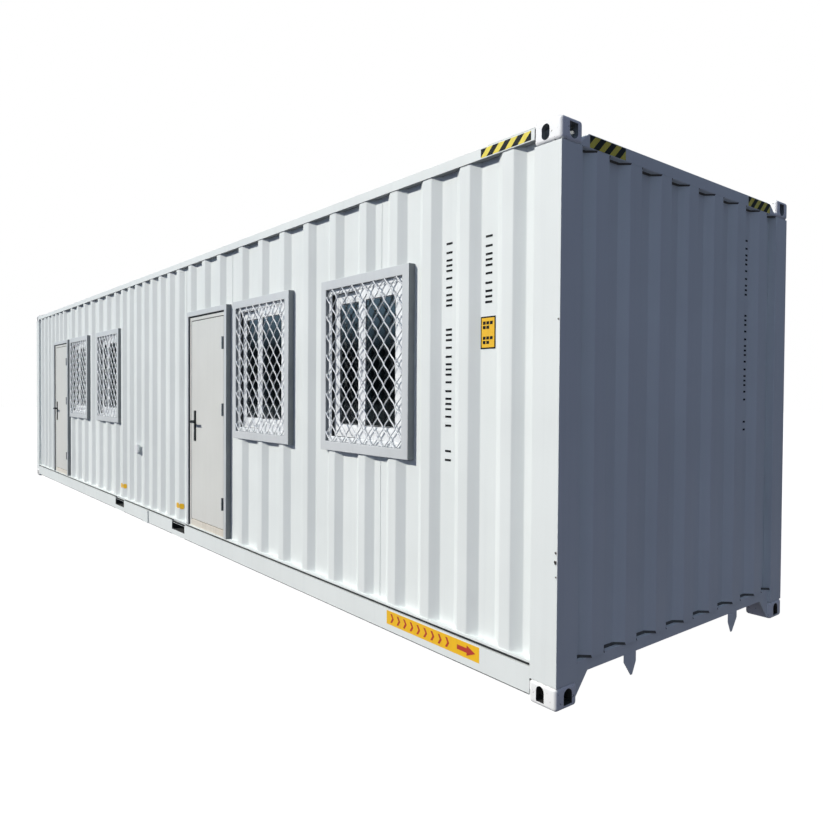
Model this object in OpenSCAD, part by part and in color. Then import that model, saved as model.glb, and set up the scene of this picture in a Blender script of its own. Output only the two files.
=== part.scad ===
// Forty-foot steel shipping container fitted out as a site cabin: two outward-opening
// doors and four barred sliding windows in one long side, lined walls, floor and ceiling.
// X runs along the cabin towards the gooseneck end, the doors face -Y, and Z is up.
// The origin is the centre of the base, level with the feet of the corner castings.

/* [Container] */
// Overall length, over the corner castings
body_l = 12192; // [9000:10:14600]
// Overall width, over the corner castings
body_w = 2438; // [2200:2:2926]
// Overall height, over the corner castings
body_h = 2896; // [2591:1:3475]
// Corner casting length along the cabin
casting_l = 178; // [160:1:200]
// Corner casting width across the cabin
casting_w = 162; // [150:1:190]
// Corner casting height
casting_h = 118; // [110:1:140]
// Thickness of the casting walls
casting_wall = 28; // [20:1:34]
// Long aperture centre, from the end of the cabin
slot_from_end = 103.5; // [95:0.5:110]
// Long aperture centre, from the side of the cabin
slot_from_side = 89.5; // [80:0.5:95]
// Length of the long aperture
slot_l = 124; // [110:1:130]
// Width of the long aperture
slot_w = 63.5; // [55:0.5:70]
// Wall of the posts and box rails
post_wall = 6; // [4:1:10]

/* [Rails] */
// How far the rails' outer faces sit inside the castings
rail_inset = 4; // [2:1:10]
// Side of the square top side rail
top_rail = 60; // [50:1:80]
// Gap between the top rail and the top of the castings
top_rail_drop = 21; // [15:1:30]
// Underside of the bottom side rail
bottom_rail_z = 33; // [20:1:40]
// Height of the bottom side rail's channel
bottom_rail_h = 142; // [130:1:160]
// Depth of the bottom rail's flanges
flange_w = 48; // [40:1:60]
// Sheet thickness of the bottom rail
rail_wall = 4.5; // [3:0.5:6]
// Height of the dark groove above the channel
groove_h = 20; // [12:1:30]
// Thickness of the lip that the side wall stands on
lip_h = 12; // [8:1:16]
// Width of the splice plates at mid length
splice_w = 180; // [120:1:240]
// Thickness of the splice plates
splice_t = 12; // [6:1:16]

/* [Corrugation] */
// Thickness of the corrugated sheet
sheet_t = 2; // [1.6:0.2:4]
// Depth of the side corrugation
side_depth = 36; // [30:1:45]
// Width of a ridge of the side wall
ridge_w = 76; // [60:1:90]
// Run of each sloping web
web_run = 64; // [40:1:68]
// Pitch of the corrugation on the plain side
plain_pitch = 278; // [230:1:320]
// Depth of the end wall corrugation
end_depth = 46; // [36:1:50]
// Pitch of the end wall corrugation
end_pitch = 293; // [260:1:300]
// Width of a ridge of the end wall
end_ridge_w = 105; // [90:1:120]
// Depth of the roof corrugation
roof_depth = 18; // [12:1:20]
// Pitch of the roof corrugation
roof_pitch = 209; // [180:1:260]

/* [Underframe] */
// Spacing of the floor cross members
cross_pitch = 400; // [350:10:600]
// Flange width of a cross member
cross_w = 45; // [40:1:60]
// Thickness of the floor boards
floor_t = 28; // [21:1:30]
// Top of the floor boards
floor_top = 190; // [185:1:196]
// Centre of each fork pocket from mid length
fork_x = 1025; // [850:5:1100]
// Clear width of a fork pocket
fork_w = 352; // [300:1:370]
// Clear height of a fork pocket
fork_h = 70; // [60:1:72]
// Underside of the fork pocket opening
fork_z = 88; // [84:1:92]
// Clear width of the gooseneck tunnel
tunnel_w = 1029; // [1000:1:1040]
// Clear height of the gooseneck tunnel
tunnel_h = 120; // [110:1:125]
// Length of the gooseneck tunnel
tunnel_l = 3150; // [2800:10:3500]
// Distance from the end sill back to the first of the tunnel's plates
tunnel_setback = 360; // [200:10:390]
// Underside of the end sills
sill_z = 140; // [135:1:150]

/* [Windows] */
// Centre of the front window, back from the front posts
window_back = 1511; // [1400:1:1700]
// Distance between the two windows of a room
window_pitch = 1512; // [1450:1:1700]
// Distance from one room's openings to the other's
room_pitch = 5980; // [5800:5:6100]
// Width over the window surround
window_w = 1022; // [900:1:1060]
// Height over the window surround
window_h = 1204; // [1000:1:1220]
// Underside of the window surround
window_z = 1140; // [1000:5:1200]
// Face width of the window surround
surround_w = 65; // [50:1:75]
// How far the surrounds stand out of the ridges
surround_out = 14; // [8:1:20]
// How far the window frame sits back in its surround
frame_back = 24; // [18:1:30]
// Face width of the white window frame
frame_w = 35; // [30:1:45]
// Left edge of the outer sash, from the window's centre
meeting_x = -72; // [-90:1:-40]
// Thickness of a sash
sash_t = 26; // [22:1:30]
// Stile width of the outer sash
outer_stile = 76; // [60:1:85]
// Stile width of the inner sash
inner_stile = 57; // [45:1:65]
// Width of the sashes' top rail
sash_top = 70; // [55:1:85]
// Width of the sashes' bottom rail
sash_bottom = 88; // [70:1:95]
// Thickness of the glass
glass_t = 5; // [4:1:8]
// Width of one diamond of the grille
diamond_w = 125; // [100:1:150]
// Height of one diamond of the grille
diamond_h = 137; // [100:1:160]
// Thickness of the grille's bars
bar_t = 8; // [6:1:12]

/* [Doors] */
// Centre of the front door, back from the front posts
door_back = 4157; // [4140:1:4200]
// Width over the door surround
door_w = 961; // [920:1:1000]
// Top of the door surround
door_top = 2343; // [2250:1:2350]
// Face width of the door surround
door_surround_w = 48; // [40:1:55]
// Face width of the steel door frame
jamb_w = 42; // [38:1:50]
// How far the door frame sits back in its surround
jamb_back = 17; // [12:1:25]
// Thickness of the door leaf
leaf_t = 45; // [40:1:50]
// Clearance round the leaf
leaf_gap = 7; // [6.5:0.5:9]
// Height of the threshold
threshold_h = 62; // [40:1:70]
// Radius of the hinge barrels
hinge_r = 9; // [8:0.5:11]
// Height of a hinge
hinge_h = 115; // [100:1:130]
// Running clearance round the hinge pins
pin_gap = 0.1; // [0.05:0.01:0.15]
// Height of the handle's spindle
lever_z = 1250; // [1150:1:1300]
// Reach of the lever
lever_l = 125; // [100:1:135]

/* [Lining] */
// Thickness of the insulated lining panels
lining_t = 50; // [40:1:75]
// Thickness of the ceiling panels
ceiling_t = 30; // [20:1:50]
// Underside of the ceiling panels
ceiling_z = 2560; // [2450:5:2600]

/* [Hidden] */
$fn = 48;
paint = "#e6e9e8";
steel_dark = "#4a4d4f";

end_x = body_l / 2;
side_y = body_w / 2;
post_x = end_x - casting_l;
post_y = side_y - casting_w;
post_inset = 3;

// Side walls, measured outward from the middle of the cabin
rail_y = side_y - rail_inset;
ridge_y = rail_y - 5;
lining_y = ridge_y - side_depth - sheet_t;
room_y = lining_y - lining_t;
front_y = ridge_y + surround_out;

// Heights
rail_top = bottom_rail_z + bottom_rail_h;
wall_z = rail_top + groove_h + lip_h;
floor_z = floor_top - floor_t;
side_rail_top = body_h - top_rail_drop;
side_wall_top = side_rail_top - top_rail;
end_rail_h = 75;
end_rail_z = body_h - 39 - end_rail_h;
lining_top = ceiling_z + ceiling_t;

// End walls
end_rail_d = 60;
end_rail_x = end_x - 16;
sill_x = end_x - 24;
sill_top = 205;
end_ridge_x = end_x - 10;
end_web = 50;
end_lining_x = end_ridge_x - end_depth - sheet_t;
room_x = end_lining_x - lining_t;
floor_x = sill_x - end_rail_d;
tunnel_x = end_x - tunnel_l;
tunnel_end_x = sill_x - tunnel_setback;
guide_t = 6;
tunnel_wall = 6;

// Ridges of the door side, as groups: offset of the first ridge back from the front
// posts, pitch, and how many. Each group is one welded run of sheet.
last_run = 9943;
last_count = floor((2 * post_x - last_run - ridge_w - web_run - 20) / plain_pitch) + 1;
runs = [[148, 330, 4], [1478, 378, 6], [3843, 355, 3], [4878, 278, 8], [7123, 385, 7],
    [last_run, plain_pitch, last_count]];
door_side_ridges = [for (g = [len(runs) - 1:-1:0]) for (k = [runs[g][2] - 1:-1:0])
    post_x - runs[g][0] - k * runs[g][1] - ridge_w / 2];
function even_ridges(half, pitch, edge) =
    let (n = floor((half - edge) / pitch)) [for (k = [-n:n]) k * pitch];

// Openings
windows = [for (r = [0, 1]) for (w = [0, 1])
    post_x - window_back - w * window_pitch - r * room_pitch];
doors = [for (r = [0, 1]) post_x - door_back - r * room_pitch];
opening_w = window_w - 2 * surround_w;
opening_h = window_h - 2 * surround_w;
opening_z = window_z + surround_w;
frame_d = 60;
frame_y = front_y - frame_back;
sash_inset = 6;
doorway_w = door_w - 2 * door_surround_w;
doorway_top = door_top - door_surround_w;

// Door leaf and its hinges, for a door centred on x = 0
jamb_y = front_y - jamb_back;
leaf_y = jamb_y - 2;
rebate_w = doorway_w - 2 * jamb_w;
rebate_top = doorway_top - jamb_w;
stop_w = 14;
stop_y = leaf_y - leaf_t - 5;
leaf_w = rebate_w - 2 * leaf_gap;
leaf_z = wall_z + threshold_h + leaf_gap;
leaf_h = rebate_top - leaf_gap - leaf_z;
hinge_x = rebate_w / 2 - leaf_gap / 2;
hinge_y = jamb_y + hinge_r + 1;
pin_r = hinge_r / 2;
plate_reach = 34;
hinge_plate_t = 3;
knuckle_gap = 1;
knuckle_h = (hinge_h - 2 * knuckle_gap) / 3;
hinge_levels = [leaf_z + 180, leaf_z + 1050, leaf_z + 1665];
lever_x = -leaf_w / 2 + 92;
spindle_r = 8;
plate_w = 38;
plate_h = 300;
plate_t = 8;
plate_z = 1060;
lever_stand = 50;
lever_h = 20;
lever_t = 13;

// Puts what follows on both sides of the plane x = 0 or y = 0
module both_ends() {
    children();
    mirror([1, 0, 0]) children();
}
module both_sides() {
    children();
    mirror([0, 1, 0]) children();
}
module each_corner() {
    both_ends() both_sides() children();
}

// A box between two corners
module block(lo, hi) {
    translate(lo) cube(hi - lo);
}

// A slot with round ends, along x
module slot(length, width) {
    translate([-(length - width) / 2, 0]) circle(d = width);
    translate([(length - width) / 2, 0]) circle(d = width);
    square([length - width, width], center = true);
}

// Outline of corrugated sheet from -half to half: ridges at y = 0, valleys at -depth
module corrugation(half, ridges, ridge, web, depth) {
    face = concat([[-half, -depth]],
        [for (x = ridges) each [[x - ridge / 2 - web, -depth], [x - ridge / 2, 0],
            [x + ridge / 2, 0], [x + ridge / 2 + web, -depth]]],
        [[half, -depth]]);
    last = len(face) - 1;
    polygon(concat(face, [for (i = [last:-1:0]) face[i] - [0, sheet_t]]));
}

// An arched hole: a round head of the given width on straight sides, its foot at y = 0
module arch(width, height) {
    translate([0, height - width / 2]) circle(d = width);
    translate([-width / 2, 0]) square([width, height - width / 2]);
}

// One casting in the corner at +x, +y. Its long aperture is in the face that meets the
// next container. The side hole is arched below and a plain slot above, and the arched end
// hole has its foot towards the long aperture.
module casting(z, slot_up) {
    slot_face = slot_up ? body_h - casting_wall - 1 : -1;
    slot_at = [end_x - slot_from_end, side_y - slot_from_side];
    turn = slot_up ? 180 : 0;
    foot_z = slot_up ? body_h - 22 : 22;
    difference() {
        block([post_x, post_y, z], [end_x, side_y, z + casting_h]);
        block([post_x + casting_wall, post_y + casting_wall, z + casting_wall],
            [end_x - casting_wall, side_y - casting_wall, z + casting_h - casting_wall]);
        translate([slot_at[0], slot_at[1], slot_face])
            linear_extrude(casting_wall + 2) slot(slot_l, slot_w);
        translate([slot_at[0], side_y + 1, foot_z]) rotate([90, 0, 0])
            linear_extrude(casting_wall + 2)
                if (slot_up) translate([0, -40]) rotate(90) slot(79, 51);
                else arch(51, 79);
        translate([end_x - casting_wall - 1, slot_at[1], foot_z]) rotate([90, 0, 90])
            linear_extrude(casting_wall + 2) rotate(turn) arch(63.5, 79);
    }
}
module bottom_castings() {
    color(paint) each_corner() casting(0, false);
}
module top_castings() {
    color(paint) each_corner() casting(body_h - casting_h, true);
}

module corner_posts() {
    color(paint) each_corner() difference() {
        block([post_x, post_y, casting_h],
            [end_x - post_inset, side_y - post_inset, body_h - casting_h]);
        block([post_x + post_wall, post_y + post_wall, casting_h - 1],
            [end_x - post_inset - post_wall, side_y - post_inset - post_wall,
                body_h - casting_h + 1]);
    }
}

module top_side_rails() {
    color(paint) both_sides() difference() {
        block([-post_x, rail_y - top_rail, side_wall_top], [post_x, rail_y, side_rail_top]);
        block([-post_x - 1, rail_y - top_rail + rail_wall, side_wall_top + rail_wall],
            [post_x + 1, rail_y - rail_wall, side_rail_top - rail_wall]);
    }
}

// Channel with its flanges inward, an upstand set back above it, and a lip on top
module bottom_side_rails() {
    back = rail_y - rail_wall;
    upstand = rail_y - 20;
    outline = [[rail_y, bottom_rail_z], [rail_y, rail_top], [upstand, rail_top],
        [upstand, rail_top + groove_h], [rail_y + 1, rail_top + groove_h],
        [rail_y + 1, wall_z], [lining_y + 1, wall_z], [lining_y + 1, rail_top + groove_h],
        [upstand - rail_wall, rail_top + groove_h], [upstand - rail_wall, rail_top - rail_wall],
        [back, rail_top - rail_wall], [back, bottom_rail_z + rail_wall],
        [rail_y - flange_w, bottom_rail_z + rail_wall], [rail_y - flange_w, bottom_rail_z]];
    notch = fork_w / 2 + rail_wall;
    color(paint) both_sides() difference() {
        translate([-post_x, 0, 0]) rotate([90, 0, 90]) linear_extrude(2 * post_x)
            polygon(outline);
        for (x = [-fork_x, fork_x])
            block([x - notch, upstand - 1, fork_z - rail_wall],
                [x + notch, rail_y + 1, rail_top + 1]);
    }
}

module rail_splice_plates() {
    color(paint) both_sides()
        block([-splice_w / 2, rail_y, bottom_rail_z],
            [splice_w / 2, rail_y + splice_t, rail_top]);
}

// Box rail over each end wall, cut back on a slant beside the castings
module top_end_rails() {
    slant = 67;
    rise = 20;
    color(paint) both_ends() translate([end_rail_x - end_rail_d, 0, 0]) difference() {
        rotate([90, 0, 90]) linear_extrude(end_rail_d)
            polygon([[-post_y, end_rail_z], [post_y, end_rail_z],
                [post_y, end_rail_z + rise], [post_y - slant, end_rail_z + end_rail_h],
                [slant - post_y, end_rail_z + end_rail_h], [-post_y, end_rail_z + rise]]);
        block([post_wall, slant - post_y, end_rail_z + post_wall],
            [end_rail_d - post_wall, post_y - slant, end_rail_z + end_rail_h - post_wall]);
    }
}

// Box sill under each end wall, with a gusset down to each casting
module end_sills() {
    gusset_t = 8;
    gusset_w = 112;
    color(paint) both_ends() {
        difference() {
            block([floor_x, -post_y, sill_z], [sill_x, post_y, sill_top]);
            block([floor_x + post_wall, -post_y - 1, sill_z + post_wall],
                [sill_x - post_wall, post_y + 1, sill_top - post_wall]);
        }
        both_sides() translate([sill_x - gusset_t, 0, 0]) rotate([90, 0, 90])
            linear_extrude(gusset_t)
                polygon([[post_y - gusset_w, sill_z], [post_y - gusset_w, sill_z + 4],
                    [post_y, sill_z + 4], [post_y, 6]]);
    }
}

// Roof and side webs of the tunnel under the front, with ribs up to the floor and a
// bolster across its blind end
module gooseneck_tunnel() {
    half = tunnel_w / 2 + tunnel_wall;
    ribs = floor((tunnel_end_x - tunnel_x) / cross_pitch);
    color(steel_dark) {
        block([tunnel_x, -half, tunnel_h], [tunnel_end_x, half, tunnel_h + tunnel_wall]);
        both_sides()
            block([tunnel_x, half - tunnel_wall, bottom_rail_z], [tunnel_end_x, half, sill_z]);
        for (k = [0:ribs - 1])
            translate([tunnel_x + (k + 0.5) * cross_pitch, 0, 0])
                block([-cross_w / 2, -half, tunnel_h], [cross_w / 2, half, floor_z]);
        block([tunnel_x - cross_w, -rail_y + rail_wall, bottom_rail_z + 12],
            [tunnel_x, rail_y - rail_wall, floor_z]);
    }
}

// Pointed plates beside the tunnel's mouth that guide the trailer's neck
module tunnel_guides() {
    inner = tunnel_w / 2;
    color(paint) both_sides() translate([sill_x - guide_t, 0, 0]) rotate([90, 0, 90])
        linear_extrude(guide_t)
            polygon([[inner, sill_z], [inner, sill_z - 55], [inner + 34, 16],
                [inner + 48, 16], [inner + 110, sill_z - 42], [inner + 110, sill_z]]);
}

// C-section cross members, cut to stubs beside the tunnel
module cross_members() {
    low = bottom_rail_z + 12;
    reach = rail_y - rail_wall;
    stub = tunnel_w / 2 + tunnel_wall;
    count = floor((post_x - cross_pitch / 2) / cross_pitch);
    clear = fork_w / 2 + rail_wall + cross_w;
    places = [for (k = [-count - 1:count]) (k + 0.5) * cross_pitch];
    color(steel_dark) for (x = places)
        if (abs(abs(x) - fork_x) > clear && abs(x - tunnel_x) > cross_w * 1.6)
            translate([x, 0, 0]) difference() {
                block([-cross_w / 2, -reach, low], [cross_w / 2, reach, floor_z]);
                block([-cross_w / 2 + rail_wall, -reach - 1, low + rail_wall],
                    [cross_w / 2 + 1, reach + 1, floor_z - rail_wall]);
                if (x > tunnel_x)
                    block([-cross_w, -stub, 0], [cross_w, stub, floor_top]);
            }
}

module fork_pockets() {
    color(steel_dark) both_ends() translate([fork_x, 0, fork_z]) difference() {
        block([-fork_w / 2 - rail_wall, -rail_y, -rail_wall],
            [fork_w / 2 + rail_wall, rail_y, fork_h + 4]);
        block([-fork_w / 2, -rail_y - 1, 0], [fork_w / 2, rail_y + 1, fork_h]);
    }
}

// A flat panel with its corners cut out round the posts
module notched_panel(half_x, half_y, z, t) {
    translate([0, 0, z]) linear_extrude(t) difference() {
        square([2 * half_x, 2 * half_y], center = true);
        both_ends() both_sides() translate([post_x, post_y]) square([half_x, half_y]);
    }
}
module floor_boards() {
    color("#8a6b48") notched_panel(floor_x, rail_y - flange_w - 2, floor_z, floor_t);
}
module ceiling() {
    color("#eceeee") notched_panel(room_x, room_y, ceiling_z, ceiling_t);
}

module roof_sheet() {
    half_x = end_rail_x - end_rail_d;
    half_y = rail_y - top_rail;
    top = side_rail_top - 3;
    color(paint) difference() {
        translate([0, half_y, top]) rotate([90, 0, 0]) linear_extrude(2 * half_y)
            corrugation(half_x, even_ridges(post_x, roof_pitch, 120), 90, 40, roof_depth);
        each_corner()
            block([post_x, post_y, top - roof_depth * 2], [end_x, side_y, body_h]);
    }
}

// Flat plates that guard the roof beside the top castings
module roof_corner_plates() {
    color(paint) each_corner()
        block([post_x - 330, post_y - 60, side_rail_top], [post_x, rail_y, side_rail_top + 4]);
}

// Corrugated sheet of a long side, outlined in x and z and facing +y
module side_sheet(ridges) {
    translate([0, ridge_y, wall_z]) linear_extrude(side_wall_top - wall_z)
        corrugation(post_x, ridges, ridge_w, web_run, side_depth);
}
module back_wall() {
    color(paint) side_sheet(even_ridges(post_x, plain_pitch, 120));
}

module end_walls() {
    color(paint) both_ends() translate([end_ridge_x, 0, sill_top]) rotate([0, 0, -90])
        linear_extrude(end_rail_z - sill_top)
            corrugation(post_y, even_ridges(post_y, end_pitch, 100), end_ridge_w, end_web,
                end_depth);
}

// Boxes through the door side for the windows, and for the doors up to the given height
module window_holes(w, z, h) {
    for (x = windows) block([x - w / 2, -side_y * 1.1, z], [x + w / 2, 0, z + h]);
}
module door_holes(w, top) {
    for (x = doors) block([x - w / 2, -side_y * 1.1, -1], [x + w / 2, 0, top]);
}
module door_side_wall() {
    color(paint) difference() {
        mirror([0, 1, 0]) side_sheet(door_side_ridges);
        window_holes(window_w, window_z, window_h);
        door_holes(door_w, body_h);
    }
}
module wall_over_doors() {
    color(paint) intersection() {
        mirror([0, 1, 0]) side_sheet(door_side_ridges);
        translate([0, 0, door_top + 1]) door_holes(door_w, body_h);
    }
}

module back_lining() {
    color("#dfe2e2") block([-post_x, room_y, floor_top], [post_x, lining_y, lining_top]);
}
module end_linings() {
    color("#dfe2e2") both_ends() difference() {
        block([room_x, -post_y, floor_top], [end_lining_x, post_y, lining_top]);
        block([floor_x, -side_y, sill_z], [sill_x, side_y, sill_top]);
    }
}
module door_side_lining() {
    color("#dfe2e2") difference() {
        block([-post_x, -lining_y, floor_top], [post_x, -room_y, lining_top]);
        window_holes(opening_w, opening_z, opening_h);
        door_holes(doorway_w, body_h);
    }
}
module lining_over_doors() {
    color("#dfe2e2") for (x = doors)
        block([x - doorway_w / 2, -lining_y, doorway_top],
            [x + doorway_w / 2, -room_y, lining_top]);
}

module door_surrounds() {
    color(paint) for (x = doors) translate([x, 0, 0]) difference() {
        block([-door_w / 2, -front_y, wall_z], [door_w / 2, -lining_y, door_top]);
        block([-doorway_w / 2, -front_y - 1, 0], [doorway_w / 2, 0, doorway_top]);
    }
}

// Steel frame in each doorway, with a stop behind the leaf
module door_frames() {
    stop_top = rebate_top - stop_w;
    color("#d9d8d2") for (x = doors) translate([x, 0, 0]) difference() {
        block([-doorway_w / 2, -jamb_y, wall_z], [doorway_w / 2, -room_y, doorway_top]);
        block([-rebate_w / 2, -jamb_y - 1, 0], [rebate_w / 2, -stop_y, rebate_top]);
        block([stop_w - rebate_w / 2, -jamb_y, 0], [rebate_w / 2 - stop_w, 0, stop_top]);
    }
}
module thresholds() {
    color("#cfc7ac") for (x = doors) translate([x, 0, wall_z]) {
        block([-rebate_w / 2, -jamb_y, 0], [rebate_w / 2, -stop_y, threshold_h]);
        block([stop_w - rebate_w / 2, -stop_y - 1, 0],
            [rebate_w / 2 - stop_w, -room_y, threshold_h]);
    }
}

// Fixed part of each hinge: two knuckles and their pin on a plate across the jamb
module frame_hinges() {
    color("#b9bbba") for (x = doors) for (z = hinge_levels) translate([x, 0, z]) {
        translate([hinge_x, -hinge_y, 0]) {
            for (k = [0, 2 * (knuckle_h + knuckle_gap)]) translate([0, 0, k]) {
                cylinder(r = hinge_r, h = knuckle_h);
                translate([0, hinge_y - jamb_y - hinge_plate_t, 0])
                    cube([plate_reach, hinge_plate_t, knuckle_h]);
            }
            cylinder(r = pin_r, h = hinge_h);
            translate([hinge_r + 4, hinge_y - jamb_y - hinge_plate_t, 0])
                cube([plate_reach - hinge_r - 4, hinge_plate_t, hinge_h]);
        }
    }
}

// Moving part of each hinge: the middle knuckle on a plate across the leaf
module leaf_hinges(x) {
    base = hinge_y - leaf_y;
    t = base - hinge_r + 2;
    color("#b9bbba") for (z = hinge_levels)
        translate([x + hinge_x, -hinge_y, z + knuckle_h + knuckle_gap]) difference() {
            union() {
                cylinder(r = hinge_r, h = knuckle_h);
                translate([-plate_reach, base - t, 0]) cube([plate_reach, t, knuckle_h]);
            }
            translate([0, 0, -1]) cylinder(r = pin_r + pin_gap, h = knuckle_h + 2);
        }
}
module front_door_hinges() { leaf_hinges(doors[0]); }
module rear_door_hinges() { leaf_hinges(doors[1]); }

module spindle_hole(x) {
    translate([x + lever_x, 0, lever_z]) rotate([90, 0, 0])
        cylinder(r = spindle_r + 0.5, h = side_y * 1.1);
}
module door_leaf(x) {
    color("#dad9d3") difference() {
        block([x - leaf_w / 2, -leaf_y, leaf_z],
            [x + leaf_w / 2, leaf_t - leaf_y, leaf_z + leaf_h]);
        spindle_hole(x);
    }
}
module front_door_leaf() { door_leaf(doors[0]); }
module rear_door_leaf() { door_leaf(doors[1]); }

// Long plates behind the levers, one on each face of the leaf
module handle_plates(x) {
    color("#26282a") difference() {
        for (y = [-leaf_y - plate_t, leaf_t - leaf_y])
            translate([x + lever_x - plate_w / 2, y, plate_z]) cube([plate_w, plate_t, plate_h]);
        spindle_hole(x);
    }
}
module front_door_plates() { handle_plates(doors[0]); }
module rear_door_plates() { handle_plates(doors[1]); }

// Both levers with the spindle that joins them through the leaf
module lever(x) {
    outer = leaf_y + lever_stand + lever_t;
    inner = leaf_y - leaf_t - lever_stand - lever_t;
    collar = lever_stand - plate_t - 1;
    color("#26282a") translate([x + lever_x, 0, lever_z]) {
        translate([0, -inner, 0]) rotate([90, 0, 0]) cylinder(r = spindle_r, h = outer - inner);
        for (y = [-outer, -inner - lever_t]) translate([0, y, 0]) rotate([-90, 0, 0])
            linear_extrude(lever_t) hull() {
                circle(d = lever_h);
                translate([lever_l - lever_h / 2, 0]) circle(d = lever_h);
            }
        for (y = [lever_t - outer, -inner - lever_t - collar]) translate([0, y, 0])
            rotate([-90, 0, 0]) cylinder(r = spindle_r + 5, h = collar);
    }
}
module front_door_lever() { lever(doors[0]); }
module rear_door_lever() { lever(doors[1]); }

module window_surrounds() {
    color(paint) for (x = windows) translate([x, 0, 0]) difference() {
        block([-window_w / 2, -front_y, window_z],
            [window_w / 2, -lining_y, window_z + window_h]);
        block([-opening_w / 2, -front_y - 1, opening_z],
            [opening_w / 2, 0, opening_z + opening_h]);
    }
}
module window_frames() {
    color("#f4f6f7") for (x = windows) translate([x, 0, opening_z]) difference() {
        block([-opening_w / 2, -frame_y, 0], [opening_w / 2, frame_d - frame_y, opening_h]);
        block([frame_w - opening_w / 2, -frame_y - 1, frame_w],
            [opening_w / 2 - frame_w, 0, opening_h - frame_w]);
    }
}

// The two sashes of a window centred on x, as [left, right, front, stile]
function sashes(x) = let (reach = opening_w / 2 - frame_w, outer = frame_y - sash_inset)
    [[x + meeting_x, x + reach, outer, outer_stile],
        [x - reach, x + meeting_x + outer_stile, outer - sash_t - 2, inner_stile]];
sash_z = opening_z + frame_w;
sash_h = opening_h - 2 * frame_w;
module window_sashes() {
    color("#f4f6f7") for (x = windows) for (s = sashes(x)) difference() {
        block([s[0], -s[2], sash_z], [s[1], sash_t - s[2], sash_z + sash_h]);
        block([s[0] + s[3], -s[2] - 1, sash_z + sash_bottom],
            [s[1] - s[3], 0, sash_z + sash_h - sash_top]);
    }
}
module window_panes() {
    middle = (sash_t - glass_t) / 2;
    color("#2c3c46", 0.6) for (x = windows) for (s = sashes(x))
        block([s[0] + s[3], middle - s[2], sash_z + sash_bottom],
            [s[1] - s[3], middle + glass_t - s[2], sash_z + sash_h - sash_top]);
}

// Diamond grille that fills a surround, as crossed bars
module grille(x) {
    angle = atan2(diamond_h, diamond_w);
    reach = ceil((opening_w / 2 + opening_h / 2 * diamond_w / diamond_h) / diamond_w);
    length = opening_w + opening_h;
    color("#f0f2f3") translate([x, bar_t + 4 - front_y, opening_z + opening_h / 2])
        rotate([90, 0, 0]) linear_extrude(bar_t) intersection() {
            square([opening_w, opening_h], center = true);
            union() for (side = [-1, 1]) for (k = [-reach:reach])
                translate([k * diamond_w, 0]) rotate(side * angle)
                    square([length, bar_t], center = true);
        }
}
module front_grille_1() { grille(windows[0]); }
module front_grille_2() { grille(windows[1]); }
module rear_grille_1() { grille(windows[2]); }
module rear_grille_2() { grille(windows[3]); }

// Power inlet between the two rooms
module inlet_box() {
    x = (doors[0] + windows[2]) / 2 - 406;
    color("#f4f6f7") block([x - 50, -ridge_y - 20, 820], [x + 50, -ridge_y, 912]);
}

bottom_castings();
top_castings();
corner_posts();
top_side_rails();
bottom_side_rails();
rail_splice_plates();
top_end_rails();
end_sills();
gooseneck_tunnel();
tunnel_guides();
cross_members();
fork_pockets();
floor_boards();
roof_sheet();
roof_corner_plates();
back_wall();
end_walls();
door_side_wall();
wall_over_doors();
back_lining();
end_linings();
door_side_lining();
lining_over_doors();
ceiling();
door_surrounds();
door_frames();
thresholds();
frame_hinges();
front_door_leaf();
rear_door_leaf();
front_door_hinges();
rear_door_hinges();
front_door_plates();
rear_door_plates();
front_door_lever();
rear_door_lever();
window_surrounds();
window_frames();
window_sashes();
window_panes();
front_grille_1();
front_grille_2();
rear_grille_1();
rear_grille_2();
inlet_box();
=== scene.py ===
import math

import bmesh
import bpy
from mathutils import Matrix, Vector


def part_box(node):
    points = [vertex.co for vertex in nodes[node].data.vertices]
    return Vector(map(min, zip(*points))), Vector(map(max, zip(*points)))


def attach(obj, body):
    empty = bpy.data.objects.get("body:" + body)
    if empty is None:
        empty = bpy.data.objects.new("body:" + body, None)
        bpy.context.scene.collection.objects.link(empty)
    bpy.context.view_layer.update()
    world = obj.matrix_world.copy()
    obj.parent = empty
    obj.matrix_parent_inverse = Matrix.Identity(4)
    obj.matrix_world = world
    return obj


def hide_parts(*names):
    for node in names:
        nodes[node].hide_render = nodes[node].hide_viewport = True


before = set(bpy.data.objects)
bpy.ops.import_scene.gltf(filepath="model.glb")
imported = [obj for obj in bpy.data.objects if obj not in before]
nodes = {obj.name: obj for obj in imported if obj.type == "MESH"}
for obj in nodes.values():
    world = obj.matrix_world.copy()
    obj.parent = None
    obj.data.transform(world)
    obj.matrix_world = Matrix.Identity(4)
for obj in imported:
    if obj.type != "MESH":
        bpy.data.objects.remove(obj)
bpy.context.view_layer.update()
scene = bpy.context.scene
scene.view_settings.view_transform = "Standard"


def linear(hexCode):
    channels = [int(hexCode[i:i + 2], 16) / 255 for i in (1, 3, 5)]
    return [c / 12.92 if c <= 0.04045 else ((c + 0.055) / 1.055) ** 2.4 for c in channels] + [1.0]


# adds a node with its inputs, as values, sockets or other nodes, and its settings
def addNode(tree, kind, links={}, settings={}):
    node = tree.nodes.new(kind)
    for key, value in settings.items():
        setattr(node, key, value)
    return feed(tree, node, links)


def feed(tree, node, links):
    for key, value in links.items():
        if isinstance(value, bpy.types.Node):
            value = value.outputs[0]
        if isinstance(value, bpy.types.NodeSocket):
            tree.links.new(value, node.inputs[key])
        else:
            node.inputs[key].default_value = value
    return node


def mathNode(tree, operation, *values):
    return addNode(tree, "ShaderNodeMath", dict(enumerate(values)), {"operation": operation})


def mixed(tree, share, first, second):
    return addNode(tree, "ShaderNodeMix", {0: share, 6: first, 7: second}, {"data_type": "RGBA"}).outputs[2]


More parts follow.
